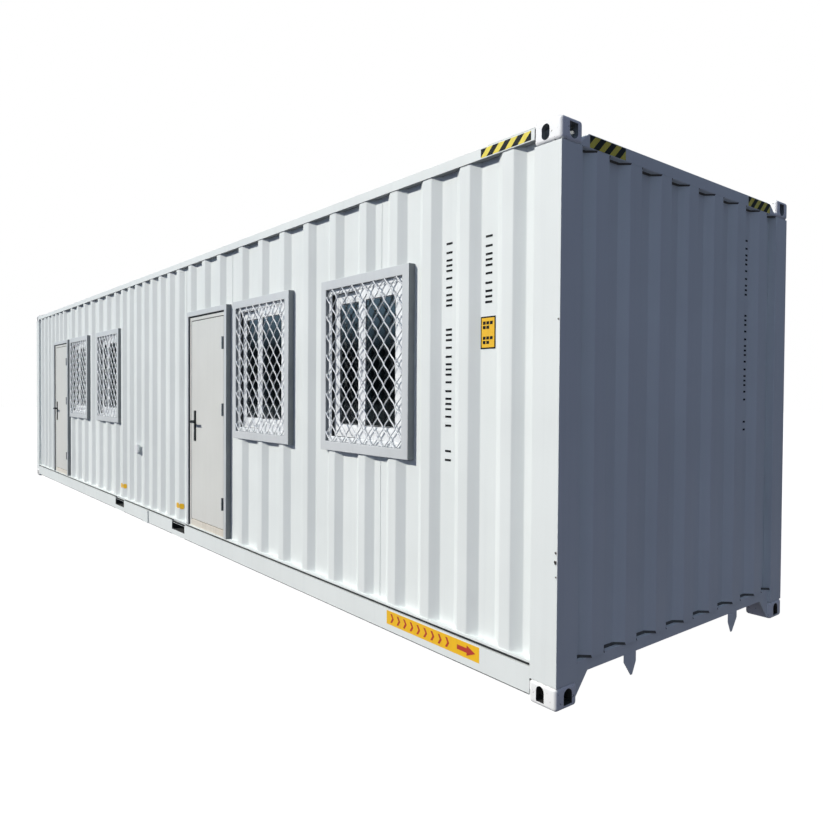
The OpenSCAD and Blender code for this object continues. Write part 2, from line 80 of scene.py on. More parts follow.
def ranged(tree, value, low, high, toLow=0.0, toHigh=1.0):
    return addNode(tree, "ShaderNodeMapRange", {0: value, 1: low, 2: high, 3: toLow, 4: toHigh})


def noise(tree, place, scale, detail, roughness=0.5, distortion=0.0):
    return addNode(tree, "ShaderNodeTexNoise", {"Vector": place, "Scale": scale, "Detail": detail,
        "Roughness": roughness, "Distortion": distortion})


def startMaterial(name):
    material = bpy.data.materials.new(name)
    material.use_nodes = True
    tree = material.node_tree
    return material, tree, tree.nodes["Principled BSDF"], addNode(tree, "ShaderNodeTexCoord").outputs["Object"]


# satin paint on steel: soft sheen, faint rain streaks, dust that gathers low down, pin-head rust
def paintedSteel(name, look):
    material, tree, shader, place = startMaterial(name)
    axes = addNode(tree, "ShaderNodeSeparateXYZ", {0: place})
    patches = noise(tree, place, 1.3, 4.0)
    tone = ranged(tree, patches, 0.35, 0.7)
    paint = mixed(tree, tone, linear(look["paint"]), linear(look["shade"]))
    stretched = addNode(tree, "ShaderNodeMapping", {"Vector": place, "Scale": (17.0, 17.0, 0.45)})
    rain = noise(tree, stretched, 1.0, 5.0, roughness=0.6)
    runs = ranged(tree, rain, 0.5, 0.78, 0.0, look["streaks"])
    streaked = mixed(tree, runs, paint, linear(look["streak"]))
    smudge = noise(tree, place, 9.0, 6.0, roughness=0.65)
    low = ranged(tree, axes.outputs[2], look["dustTop"], look["dustTop"] - 0.45, 0.0, look["dusty"])
    dust = mathNode(tree, "MULTIPLY", low, smudge)
    dusty = mixed(tree, dust, streaked, linear(look["dust"]))
    pits = noise(tree, place, 46.0, 7.0, roughness=0.7)
    chips = ranged(tree, pits, look["chips"], look["chips"] + 0.04)
    worn = mixed(tree, chips, dusty, linear(look["chip"]))
    gloss = ranged(tree, smudge, 0.3, 0.75, look["rough"], look["rough"] + 0.16)
    peel = noise(tree, place, 260.0, 2.0)  # brush and orange peel, 4 mm
    skin = addNode(tree, "ShaderNodeBump", {"Strength": look["bump"], "Distance": 0.0006, "Height": peel})
    chipped = addNode(tree, "ShaderNodeBump", {"Strength": 0.4, "Distance": 0.0005, "Height": chips,
        "Normal": skin}, {"invert": True})
    feed(tree, shader, {"Base Color": worn, "Roughness": gloss, "Normal": chipped,
        "Metallic": look.get("metal", 0.0), "Specular IOR Level": look.get("specular", 0.5)})
    return material


# white acrylic topcoat over the steel body
containerPaint = paintedSteel("satinContainerPaint", {"paint": "#eaefed", "shade": "#e3e8e6",
    "streak": "#c4c8c9", "streaks": 0.12, "dust": "#b3b0a6", "dustTop": 0.45, "dusty": 0.08, "chip": "#998a76",
    "chips": 0.785, "rough": 0.5, "bump": 0.08})
# the same topcoat over the folded window and door surrounds, a shade greyer
surroundPaint = paintedSteel("greyWhiteSurroundPaint", {"paint": "#d5d9da", "shade": "#cdd1d2",
    "streak": "#b4b8ba", "streaks": 0.2, "dust": "#aaa79d", "dustTop": 0.5, "dusty": 0.5, "chip": "#8d8273",
    "chips": 0.76, "rough": 0.4, "bump": 0.1})
# darker grey that paints shade on faces turned out of the light: the surrounds' folded edges, the top side
# rails' undersides and the inside of the top castings
shadeGrey = paintedSteel("paintedShadeGrey", {"paint": "#888d8f", "shade": "#7b8082", "streak": "#6c7072",
    "streaks": 0.3, "dust": "#77736a", "dustTop": 0.5, "dusty": 0.5, "chip": "#6b5f52", "chips": 0.74,
    "rough": 0.55, "bump": 0.2})
# thick topcoat on cast steel, rubbed and spotted by lifting gear
castingPaint = paintedSteel("scuffedCastingPaint", {"paint": "#fdfefe", "shade": "#f4f6f5", "streak": "#cfcfcd",
    "streaks": 0.15, "dust": "#c2bba8", "dustTop": 0.3, "dusty": 0.4, "chip": "#8c8881", "chips": 0.605,
    "rough": 0.5, "bump": 0.35})
# near-black inside of the bottom castings, painted shade for their deep hollows, with flecks of brown rust, matt
# and rough; also the knocked spots on the front post
darkRustAndShade = paintedSteel("rustAndHollowShade", {"paint": "#2a2624", "shade": "#1c1a19",
    "streak": "#4a3022", "streaks": 0.5, "dust": "#3d342c", "dustTop": 0.3, "dusty": 0.5, "chip": "#6a4227",
    "chips": 0.62, "rough": 0.8, "bump": 0.5})
# bitumen underseal: matt, brown-black, lumpy; inside the fork pockets its dark also paints their deep shade
undersealAndShade = paintedSteel("bitumenUndersealAndShade", {"paint": "#2b2c2d", "shade": "#1f2021", "streak": "#3a3733",
    "streaks": 0.2, "dust": "#5b5245", "dustTop": 0.25, "dusty": 0.8, "chip": "#5d4636", "chips": 0.68,
    "rough": 0.75, "bump": 0.5})
# powder coat on the door leaves and frames: even, fine-grained, pale warm grey
doorCoat = paintedSteel("paleGreyPowderCoat", {"paint": "#e0e1dc", "shade": "#d9dad5", "streak": "#c2c1bb",
    "streaks": 0.12, "dust": "#b4afa2", "dustTop": 0.5, "dusty": 0.3, "chip": "#8b8678", "chips": 0.8,
    "rough": 0.38, "bump": 0.08})
# cream paint on the thresholds, walked through to the steel in places
thresholdPaint = paintedSteel("walkedCreamPaint", {"paint": "#e4dfd4", "shade": "#d9d2c4", "streak": "#ada48f",
    "streaks": 0.4, "dust": "#a39a86", "dustTop": 0.3, "dusty": 0.4, "chip": "#8b8378", "chips": 0.66,
    "rough": 0.5, "bump": 0.3})
# black powder coat on the door furniture: fine matt grain
blackCoat = paintedSteel("blackPowderCoat", {"paint": "#151617", "shade": "#101112", "streak": "#2c2d2e",
    "streaks": 0.15, "dust": "#4a4843", "dustTop": 0.2, "dusty": 0.5, "chip": "#6c6d6e", "chips": 0.8,
    "rough": 0.42, "bump": 0.2, "specular": 0.25})
# zinc plate gone dull grey on the hinges
zincSteel = paintedSteel("dullZincPlate", {"paint": "#8c8e8e", "shade": "#6f7172", "streak": "#55575a",
    "streaks": 0.3, "dust": "#5b554b", "dustTop": 0.2, "dusty": 0.5, "chip": "#7a5f47", "chips": 0.74,
    "rough": 0.42, "bump": 0.15, "metal": 0.85})
# gloss enamel on the window bars, slightly chalky
grillePaint = paintedSteel("whiteBarEnamel", {"paint": "#fafcfc", "shade": "#f0f3f4", "streak": "#cfd1d0",
    "streaks": 0.2, "dust": "#a7a49a", "dustTop": 0.3, "dusty": 0.5, "chip": "#93836f", "chips": 0.75,
    "rough": 0.34, "bump": 0.08})


# extruded or printed plastics and rubbers: clean colour with fine dust in the grain
def plainPolymer(name, look):
    material, tree, shader, place = startMaterial(name)
    stretched = addNode(tree, "ShaderNodeMapping", {"Vector": place, "Scale": (30.0, 30.0, 4.0)})
    film = noise(tree, stretched, 1.0, 5.0)
    soil = ranged(tree, film, 0.45, 0.8, 0.0, look["soiling"])
    colour = mixed(tree, soil, linear(look["colour"]), linear(look["soil"]))
    gloss = ranged(tree, film, 0.3, 0.8, look["rough"], look["rough"] + 0.15)
    grain = noise(tree, place, look["grain"], 2.0)
    bump = addNode(tree, "ShaderNodeBump", {"Strength": look["bump"], "Distance": 0.0004, "Height": grain})
    feed(tree, shader, {"Base Color": colour, "Roughness": gloss, "Normal": bump,
        "Specular IOR Level": look.get("specular", 0.5)})
    return material


# extruded window PVC: cool white, soft gloss
whitePvc = plainPolymer("extrudedWhitePvc", {"colour": "#f1f4f5", "soil": "#c3c6c4", "soiling": 0.35,
    "rough": 0.3, "grain": 300.0, "bump": 0.04})
# EPDM seals: dead matt black; the same black also paints shade as strips and films in gaps, tracks, the rail
# grooves and the key slots
blackSealAndShade = plainPolymer("epdmSealAndPaintedShade", {"colour": "#17181a", "soil": "#3b3a37", "soiling": 0.4, "rough": 0.7,
    "grain": 500.0, "bump": 0.2})
# dark grey fillets at the foot and head of the end walls' valleys: painted shade where the sill and the top rail
# shut out the light
valleyShadeGrey = plainPolymer("valleyShadeFill", {"colour": "#5e5c57", "soil": "#45423d", "soiling": 0.6,
    "rough": 0.75, "grain": 300.0, "bump": 0.3})
# cast vinyl film, one for each ink
yellowVinyl = plainPolymer("yellowVinyl", {"colour": "#f4bf1c", "soil": "#cfa134", "soiling": 0.4, "rough": 0.4,
    "grain": 400.0, "bump": 0.05})
lemonVinyl = plainPolymer("lemonVinyl", {"colour": "#efdb3c", "soil": "#c4ad3c", "soiling": 0.5, "rough": 0.42,
    "grain": 400.0, "bump": 0.05})
redVinyl = plainPolymer("redVinyl", {"colour": "#b8352a", "soil": "#8f4034", "soiling": 0.4, "rough": 0.42,
    "grain": 400.0, "bump": 0.05})
blackVinyl = plainPolymer("blackVinyl", {"colour": "#0e0f10", "soil": "#383735", "soiling": 0.3, "rough": 0.55,
    "grain": 400.0, "bump": 0.05, "specular": 0.15})


# insulated lining: coated sheet with a fine joint every 1.15 m and a faint leather print
def liningSheet():
    material, tree, shader, place = startMaterial("coatedLiningPanel")
    axes = addNode(tree, "ShaderNodeSeparateXYZ", {0: place})
    alongPanel = mathNode(tree, "PINGPONG", axes.outputs[0], 0.575)
    joint = ranged(tree, alongPanel, 0.003, 0.0045, 1.0, 0.0)
    patches = noise(tree, place, 2.2, 5.0)
    coat = mixed(tree, patches, linear("#e6e8e6"), linear("#d6d9d8"))
    colour = mixed(tree, joint, coat, linear("#7f8282"))
    leather = addNode(tree, "ShaderNodeTexVoronoi", {"Vector": place, "Scale": 210.0})
    bump = addNode(tree, "ShaderNodeBump", {"Strength": 0.12, "Distance": 0.0006, "Height": leather})
    groove = addNode(tree, "ShaderNodeBump", {"Strength": 0.8, "Distance": 0.002, "Height": joint,
        "Normal": bump}, {"invert": True})
    feed(tree, shader, {"Base Color": colour, "Roughness": 0.45, "Normal": groove})
    return material


# phenolic plywood floor: brown, boards 1.16 m long, scuffed grain along Y
def plywoodFloor():
    material, tree, shader, place = startMaterial("marinePlywood")
    axes = addNode(tree, "ShaderNodeSeparateXYZ", {0: place})
    stretched = addNode(tree, "ShaderNodeMapping", {"Vector": place, "Scale": (42.0, 2.2, 42.0)})
    grain = noise(tree, stretched, 1.0, 7.0, distortion=0.6)
    veneer = mixed(tree, grain, linear("#6d4a2c"), linear("#a98055"))
    board = mathNode(tree, "PINGPONG", axes.outputs[0], 0.58)
    gap = ranged(tree, board, 0.002, 0.0035, 1.0, 0.0)
    colour = mixed(tree, gap, veneer, linear("#2a1d12"))
    bump = addNode(tree, "ShaderNodeBump", {"Strength": 0.2, "Distance": 0.0008, "Height": grain})
    feed(tree, shader, {"Base Color": colour, "Roughness": 0.5, "Normal": bump})
    return material


# grey-tinted float glass: clear gloss over a dark room, with a faint dust film
def tintedGlass():
    material, tree, shader, place = startMaterial("tintedFloatGlass")
    film = noise(tree, place, 7.0, 6.0)
    tint = mixed(tree, film, linear("#6d7a80"), linear("#7f8a8e"))
    gloss = ranged(tree, film, 0.35, 0.8, 0.01, 0.06)
    feed(tree, shader, {"Base Color": tint, "Roughness": gloss, "Transmission Weight": 1.0, "IOR": 1.52})
    return material


liningPanel = liningSheet()
plywood = plywoodFloor()
windowGlass = tintedGlass()
print("finishes made")


def linked(name, data):
    holder = bpy.data.objects.new(name, data)
    scene.collection.objects.link(holder)
    return holder


def evaluatedMesh(holder):
    seen = holder.evaluated_get(bpy.context.evaluated_depsgraph_get())
    mesh = bpy.data.meshes.new_from_object(seen)
    bpy.data.objects.remove(holder)
    return mesh


def meshOf(bm, name="work"):
    mesh = bpy.data.meshes.new(name)
    bm.to_mesh(mesh)
    bm.free()
    return mesh


def bevelled(mesh, width, segments=3, angle=32):
    holder = linked("bevelWork", mesh)
    bevel = holder.modifiers.new("bevel", "BEVEL")
    bevel.width, bevel.segments = width, segments
    bevel.limit_method, bevel.angle_limit = "ANGLE", math.radians(angle)
    bevel.use_clamp_overlap = True
    return evaluatedMesh(holder)


# runs a Geometry Nodes tree over a mesh and keeps the result as a plain mesh
def grown(mesh, tree, values):
    holder = linked("growWork", mesh)
    modifier = holder.modifiers.new("grow", "NODES")
    modifier.node_group = tree
    ids = {item.name: item.identifier for item in tree.interface.items_tree
        if item.item_type == "SOCKET" and item.in_out == "INPUT"}
    for key, value in values.items():
        modifier[ids[key]] = value
    return evaluatedMesh(holder)


def finishPiece(name, mesh, materials, replaced=(), sharpAngle=35, body="cabin"):
    slots = [min(face.material_index, len(materials) - 1) for face in mesh.polygons]
    mesh.materials.clear()
    for material in materials:
        mesh.materials.append(material)
    mesh.polygons.foreach_set("material_index", slots)
    mesh.shade_smooth()
    mesh.set_sharp_from_angle(angle=math.radians(sharpAngle))
    holder = linked("normalWork", mesh)
    flat = holder.modifiers.new("flat", "WEIGHTED_NORMAL")  # keeps wide faces flat beside their bevels
    flat.keep_sharp = True
    mesh = evaluatedMesh(holder)
    mesh.name = name
    piece = linked(name, mesh)
    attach(piece, body)
    if replaced:
        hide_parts(*replaced)


def joined(meshes):
    bm = bmesh.new()
    for mesh in meshes:
        bm.from_mesh(mesh)
    return meshOf(bm)


# a CAD node's surface with its loose triangles merged into whole faces
def mergedCopy(*names):
    bm = bmesh.new()
    for name in names:
        bm.from_mesh(nodes[name].data)
    bmesh.ops.remove_doubles(bm, verts=bm.verts, dist=0.00002)
    bmesh.ops.dissolve_limit(bm, angle_limit=math.radians(0.4), verts=bm.verts, edges=bm.edges)
    for face in bm.faces:
        face.material_index = 0
    return meshOf(bm)


def addBox(bm, low, high):
    for vert in bmesh.ops.create_cube(bm, size=1.0)["verts"]:
        vert.co = Vector([low[i] if vert.co[i] < 0 else high[i] for i in range(3)])


# sweeps a profile round a rectangle in x and z. Each point is (share of the member's width,
# fixed inset, y); widths are the members at the left, right, bottom and top
def addFrame(bm, left, right, bottom, top, widths, profile, openBottom=False):
    rings = []
    for share, inset, y in profile:
        l, r, b, t = [share * w + inset for w in widths]
        b = 0.0 if openBottom else b
        corners = [(left + l, bottom + b), (left + l, top - t), (right - r, top - t), (right - r, bottom + b)]
        rings.append([bm.verts.new((x, y, z)) for x, z in corners])
    sides = 3 if openBottom else 4
    faces = []
    for i, ring in enumerate(rings):
        following = rings[(i + 1) % len(rings)]
        for j in range(sides):
            k = (j + 1) % 4
            faces.append(bm.faces.new((ring[j], ring[k], following[k], following[j])))
    if openBottom:
        faces.append(bm.faces.new([ring[0] for ring in rings]))
        faces.append(bm.faces.new([ring[3] for ring in reversed(rings)]))
    bmesh.ops.recalc_face_normals(bm, faces=faces)


# a Geometry Nodes tree from mesh to mesh, with the number inputs named
def startTree(name, numbers):
    tree = bpy.data.node_groups.new(name, "GeometryNodeTree")
    tree.interface.new_socket("Geometry", in_out="INPUT", socket_type="NodeSocketGeometry")
    for number in numbers:
        tree.interface.new_socket(number, in_out="INPUT", socket_type="NodeSocketFloat")
    return tree, tree.nodes.new("NodeGroupInput").outputs


def endTree(tree, geometry, material):
    tree.interface.new_socket("Geometry", in_out="OUTPUT", socket_type="NodeSocketGeometry")
    real = addNode(tree, "GeometryNodeRealizeInstances", {0: geometry})
    painted = addNode(tree, "GeometryNodeSetMaterial", {"Geometry": real, "Material": material})
    addNode(tree, "NodeGroupOutput", {0: painted})
    return tree


# height, from 0 in a valley to 1 on a ridge, of a run of evenly pitched ridges
def ridgeRunGroup():
    tree = bpy.data.node_groups.new("ridgeRun", "GeometryNodeTree")
    for name in ("Along", "First ridge", "Pitch", "Last ridge", "Ridge width", "Web run", "Bend"):
        tree.interface.new_socket(name, in_out="INPUT", socket_type="NodeSocketFloat")
    tree.interface.new_socket("Height", in_out="OUTPUT", socket_type="NodeSocketFloat")
    given = tree.nodes.new("NodeGroupInput").outputs
    back = mathNode(tree, "SUBTRACT", given["First ridge"], given["Along"])
    steps = mathNode(tree, "DIVIDE", back, given["Pitch"])
    nearest = mathNode(tree, "ROUND", steps)
    ridge = addNode(tree, "ShaderNodeClamp", {0: nearest, 1: 0.0, 2: given["Last ridge"]})
    centre = mathNode(tree, "MULTIPLY", ridge, given["Pitch"])
    away = mathNode(tree, "SUBTRACT", back, centre)
    distance = mathNode(tree, "ABSOLUTE", away)
    half = mathNode(tree, "MULTIPLY_ADD", given["Ridge width"], 0.5, given["Web run"])
    inside = mathNode(tree, "SUBTRACT", half, distance)
    slope = mathNode(tree, "DIVIDE", inside, given["Web run"])
    topBend = mathNode(tree, "SMOOTH_MIN", slope, 1.0, given["Bend"])
    footBend = mathNode(tree, "SMOOTH_MAX", topBend, 0.0, given["Bend"])
    addNode(tree, "NodeGroupOutput", {0: footBend})
    return tree


ridgeRun = ridgeRunGroup()


# presses runs of ridges into a flat sheet that faces -Y, with slight waves as of rolled steel
def corrugateTree(runCount, material):
    perRun = [f"{part} {n}" for n in range(runCount) for part in ("First ridge", "Pitch", "Last ridge")]
    tree, given = startTree(f"corrugate{runCount}", ["Depth", "Ridge width", "Web run", "Bend",
        "Wave"] + perRun)
    position = addNode(tree, "GeometryNodeInputPosition")
    axes = addNode(tree, "ShaderNodeSeparateXYZ", {0: position})
    highest = None
    for n in range(runCount):
        run = addNode(tree, "GeometryNodeGroup", {"Along": axes.outputs[0],
            "First ridge": given[f"First ridge {n}"], "Pitch": given[f"Pitch {n}"],
            "Last ridge": given[f"Last ridge {n}"],
            "Ridge width": given["Ridge width"], "Web run": given["Web run"], "Bend": given["Bend"]},
            {"node_tree": ridgeRun})
        highest = run if highest is None else mathNode(tree, "MAXIMUM", highest, run)
    deep = mathNode(tree, "SUBTRACT", 1.0, highest)
    inward = mathNode(tree, "MULTIPLY", deep, given["Depth"])
    waves = noise(tree, position, 1.7, 1.0)
    centred = mathNode(tree, "MULTIPLY", waves, given["Wave"])
    total = mathNode(tree, "ADD", inward, centred)
    offset = addNode(tree, "ShaderNodeCombineXYZ", {1: total})
    pressed = addNode(tree, "GeometryNodeSetPosition", {"Geometry": given["Geometry"], "Offset": offset})
    return endTree(tree, pressed, material)


# flat sheet in x and z with its columns gathered at the bends, then pressed, made solid and placed
def corrugatedSheet(sheet, place):
    spread = sheet["bend"] * sheet["web"]
    halfRidge, web = sheet["ridge"] / 2, sheet["web"]
    left, right = sheet["along"]
    columns = {left, right}
    for first, pitch, count in sheet["runs"]:
        for k in range(count):
            for bend in (-halfRidge - web, -halfRidge, halfRidge, halfRidge + web):
                columns.update(first - k * pitch + bend + spread * step / 3 for step in range(-3, 4))
    rowCount = max(2, round(sheet["height"] / sheet["row"]))
    rows = {sheet["height"] * k / rowCount for k in range(rowCount + 1)}
    fixedColumns = {left, right} | {x for hole in sheet["holes"] for x in hole[:2]}
    fixedRows = {z for hole in sheet["holes"] for z in hole[2:]}
    columnGap, rowGap = 0.002, 0.02  # nearer than this to an opening's edge, a line is left out
    tidyColumns = sorted(fixedColumns | {x for x in columns
        if left < x < right and all(abs(x - f) > columnGap for f in fixedColumns)})
    tidyRows = sorted(z for z in fixedRows | {z for z in rows if all(abs(z - f) > rowGap for f in fixedRows)}
        if 0 <= z <= sheet["height"])
    bm = bmesh.new()
    grid = {}
    for x0, x1 in zip(tidyColumns, tidyColumns[1:]):
        for z0, z1 in zip(tidyRows, tidyRows[1:]):
            middle = ((x0 + x1) / 2, (z0 + z1) / 2)
            if any(h[0] < middle[0] < h[1] and h[2] < middle[1] < h[3] for h in sheet["holes"]):
                continue
            corners = [(x0, z0), (x1, z0), (x1, z1), (x0, z1)]
            for corner in corners:
                if corner not in grid:
                    grid[corner] = bm.verts.new((corner[0], 0, corner[1]))
            bm.faces.new([grid[corner] for corner in corners])
    values = {"Depth": sheet["depth"], "Ridge width": sheet["ridge"], "Web run": web, "Bend": sheet["bend"],
        "Wave": sheet["wave"]}
    for n, (first, pitch, count) in enumerate(sheet["runs"]):
        values.update({f"First ridge {n}": first, f"Pitch {n}": pitch, f"Last ridge {n}": float(count - 1)})
    pressed = grown(meshOf(bm), corrugateTree(len(sheet["runs"]), containerPaint), values)
    holder = linked("solidWork", pressed)
    solid = holder.modifiers.new("solid", "SOLIDIFY")
    solid.thickness, solid.offset = sheet["thickness"], -1
    mesh = evaluatedMesh(holder)
    mesh.transform(place)
    return mesh


wallLow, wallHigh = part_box("door_side_wall")
windowBoxes = [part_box(name) for name in ("front_grille_1", "front_grille_2", "rear_grille_1", "rear_grille_2")]
surroundLow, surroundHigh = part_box("window_surrounds")
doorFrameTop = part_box("door_surrounds")[1][2]
windowX = [(low[0] + high[0]) / 2 for low, high in windowBoxes]
doorX = {side: sum(corner[0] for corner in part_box(f"{side}_door_leaf")) / 2 for side in ("front", "rear")}

sideWall = {"ridge": 0.076, "web": 0.064, "depth": 0.036, "bend": 0.13, "wave": 0.0016, "thickness": 0.002,
    "row": 0.16,
    "face": 1.210, "valley": 1.174,
    # first ridge's centre, pitch and count of each welded run, from the front
    "runs": [(5.732, 0.330, 4), (4.402, 0.378, 6), (2.037, 0.355, 3), (1.002, 0.278, 8), (-1.243, 0.385, 7),
    (-4.063, 0.278, 7)],
    "along": (wallLow[0], wallHigh[0]), "height": wallHigh[2] - wallLow[2], "windowHalf": 0.511,
    "doorHalf": 0.4805}
sideWall["holes"] = [(x - sideWall["windowHalf"], x + sideWall["windowHalf"], surroundLow[2] - wallLow[2],
    surroundHigh[2] - wallLow[2]) for x in windowX] + [(x - sideWall["doorHalf"], x + sideWall["doorHalf"], 0.0,
    doorFrameTop - wallLow[2]) for x in doorX.values()]
doorSideSheet = corrugatedSheet(sideWall, Matrix.Translation((0, -sideWall["face"], wallLow[2])))
finishPiece("doorSideSheet", doorSideSheet, [containerPaint],
    ("door_side_wall", "wall_over_doors"))

backWall = dict(sideWall, runs=[(5.56, 0.278, 41)], holes=[])
backSheet = corrugatedSheet(backWall,
    Matrix.Translation((0, sideWall["face"], wallLow[2])) @ Matrix.Rotation(math.pi, 4, "Z"))
finishPiece("backSheet", backSheet, [containerPaint], ("back_wall",))

endLow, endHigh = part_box("end_walls")
endWall = dict(sideWall, ridge=0.105, web=0.050, depth=0.046, runs=[(0.879, 0.293, 7)], holes=[],
    along=(endLow[1], endHigh[1]), height=endHigh[2] - endLow[2])
endSheets = [corrugatedSheet(endWall, Matrix.Translation((turn * endHigh[0], 0, endLow[2]))
    @ Matrix.Rotation(turn * math.pi / 2, 4, "Z")) for turn in (1, -1)]
finishPiece("endSheets", joined(endSheets), [containerPaint], ("end_walls",))

roofLow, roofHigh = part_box("roof_sheet")
postX, postY = 5.918, 1.057
notch, roofWide = roofHigh[1] - postY, 2 * roofHigh[1]
roof = dict(sideWall, ridge=0.090, web=0.040, depth=0.018, wave=0.003, row=0.33, runs=[(5.643, 0.209, 55)],
    along=(roofLow[0], roofHigh[0]), height=roofWide,
    holes=[(*xs, *ys) for xs in ((roofLow[0], -postX), (postX, roofHigh[0]))
        for ys in ((0.0, notch), (roofWide - notch, roofWide))])
roofPiece = corrugatedSheet(roof,
    Matrix.Translation((0, roofLow[1], roofHigh[2])) @ Matrix.Rotation(-math.pi / 2, 4, "X"))
finishPiece("roofSheet", roofPiece, [containerPaint], ("roof_sheet",))
print("corrugated sheets pressed")


frameEdges = {"post": 0.007, "rail": 0.006, "channel": 0.0025, "plate": 0.002}


# a point of a circle of the given width, k sixteenths of a half turn round it
def onRound(width, k, rise):
    turn = math.pi * k / 16
    return math.cos(turn) * width / 2, rise + math.sin(turn) * width / 2


# outlines in u and v, the foot of an arch on v = 0
def archOutline(width, height):
    return [(-width / 2, 0), (width / 2, 0)] + [onRound(width, k, height - width / 2) for k in range(17)]


def slotOutline(width, length):
    reach = (length - width) / 2
    return [onRound(width, k, reach if k <= 16 else -reach) for k in range(33)]


def rectangle(left, right, low, high):
    return [(left, low), (right, low), (right, high), (left, high)]


# a solid between an outline placed at origin and the same outline moved along a third axis
def addPrism(bm, outline, origin, uAxis, vAxis, along, slot=0):
    origin, uAxis, vAxis, along = [Vector(value) for value in (origin, uAxis, vAxis, along)]
    near, far = [[bm.verts.new(origin + uAxis * u + vAxis * v + along * end) for u, v in outline] for end in (0,
        1)]
    faces = [bm.faces.new(near), bm.faces.new(far)]
    for k in range(len(outline)):
        following = (k + 1) % len(outline)
        faces.append(bm.faces.new((near[k], near[following], far[following], far[k])))
    bmesh.ops.recalc_face_normals(bm, faces=faces)
    for face in faces:
        face.material_index = slot


casting = {"end": 6.096, "side": 1.219, "wall": 0.028, "corner": 0.020, "apertureEdge": 0.0025,
    "slotFromEnd": 0.1035, "slotFromSide": 0.0895, "footFromFace": 0.022, "painted": 0.0125,
    "faceSlot": (0.0635, 0.124), "sideSlot": (0.051, 0.079), "endSlot": (0.0635, 0.079)}


# one casting at +x, -y: rounded block less its hollow and its three apertures
def castingMesh(low, high, upper):
    c = casting
    bm = bmesh.new()
    addBox(bm, (postX, -c["side"], low), (c["end"], -postY, high))
    block = linked("castingWork", bevelled(meshOf(bm), c["corner"], 4))
    x, y = c["end"] - c["slotFromEnd"], c["slotFromSide"] - c["side"]
    up, foot = (-1, high - c["footFromFace"]) if upper else (1, low + c["footFromFace"])
    hollow, face, side, end = [bmesh.new() for _ in range(4)]
    addBox(hollow, (postX + c["wall"], c["wall"] - c["side"], low + c["wall"]),
        (c["end"] - c["wall"], -postY - c["wall"], high - c["wall"]))
    past, into = 0.02, 0.06  # how far each cutter stands out of the block and reaches in
    faceStart = high - into if upper else low - past
    addPrism(face, slotOutline(*c["faceSlot"]), (x, y, faceStart), (0, 1, 0), (1, 0, 0), (0, 0, past + into))
    outside = -c["side"] - past
    if upper:
        addPrism(side, slotOutline(*c["sideSlot"]), (x, outside, foot - 0.04), (1, 0, 0), (0, 0, 1),
            (0, into, 0))
    else:
        addPrism(side, archOutline(*c["sideSlot"]), (x, outside, foot), (1, 0, 0), (0, 0, up), (0, into, 0))
    addPrism(end, archOutline(*c["endSlot"]), (c["end"] + past, y, foot), (0, 1, 0), (0, 0, up), (-into, 0, 0))
    cutters = []
    for shape in (hollow, face, side, end):
        cutter = linked("cutterWork", meshOf(shape))
        cut = block.modifiers.new("cut", "BOOLEAN")
        cut.operation, cut.solver, cut.object = "DIFFERENCE", "EXACT", cutter
        cutters.append(cutter)
    mesh = evaluatedMesh(block)
    for cutter in cutters:
        bpy.data.objects.remove(cutter)
    mesh = bevelled(mesh, c["apertureEdge"], 2, 50)
    # faces deeper inside than the paint band take the second, darker material: painted shade inside the hollow
    for face in mesh.polygons:
        cx, cy, cz = face.center
        depth = min(c["end"] - cx, cx - postX, c["side"] + cy, -postY - cy, cz - low, high - cz)
        face.material_index = int(depth > c["painted"])
    return mesh


for name, piece, upper in (("top_castings", "topCastings", True), ("bottom_castings", "bottomCastings", False)):
    low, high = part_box(name)
    one = castingMesh(low[2], high[2], upper)
    corners = []
    for sx, sy in ((1, 1), (-1, 1), (-1, -1), (1, -1)):
        mesh = one.copy()
        mesh.transform(Matrix.Diagonal((sx, sy, 1, 1)))
        if sx * sy < 0:
            mesh.flip_normals()
        corners.append(mesh)
    # the hollows take a darker second material, mid grey in the top castings and near black in the bottom ones,
    # both painted shade
    finishPiece(piece, joined(corners), [castingPaint, shadeGrey if upper else darkRustAndShade],
        (name,))
for name, piece, edge in (("corner_posts", "cornerPosts", "post"), ("top_side_rails", "topSideRails", "rail"),
        ("top_end_rails", "topEndRails", "rail"), ("bottom_side_rails", "bottomSideRails", "channel"),
        ("end_sills", "endSills", "channel"), ("rail_splice_plates", "railSplicePlates", "plate"),
        ("tunnel_guides", "tunnelGuides", "plate"), ("roof_corner_plates", "roofCornerPlates", "plate")):
    mesh = bevelled(mergedCopy(name), frameEdges[edge])
    for face in mesh.polygons:
        # downward faces of the top side rails take the darker grey: painted shade under the rails
        face.material_index = int(name == "top_side_rails" and face.normal.z < -0.7)
    finishPiece(piece, mesh, [containerPaint, shadeGrey], (name,))
print("steel frame finished")


openingHalf = 0.446
openingLow, openingHigh = windowBoxes[0][0][2], windowBoxes[0][1][2]
windowMember = {"surround": 0.065, "surroundFront": -1.224, "surroundBack": -1.172, "fold": 0.004,
    "frame": 0.035, "frameFront": -1.200, "frameBack": -1.140,
    "sashLow": 0.035, "sashTop": 0.070, "sashBottom": 0.088, "sashThick": 0.026,
    # left, right, front and stile width of each sash
    "outerSash": (-0.072, 0.411, -1.194, 0.076), "innerSash": (-0.411, 0.004, -1.166, 0.057),
    "pull": {"in": 0.030, "wide": 0.016, "deep": 0.007, "low": 1.66, "high": 1.80},
    "drain": {"apart": 0.28, "half": 0.017, "deep": 0.003, "low": 0.011, "high": 0.021}}


# a folded steel edge: three chords round each front corner
def foldedProfile(front, back, fold):
    soft = fold * 0.3
    return [(0, 0, back), (0, 0, front + fold), (0, soft, front + soft), (0, fold, front),
        (1, -fold, front), (1, -soft, front + soft), (1, 0, front + fold), (1, 0, back)]


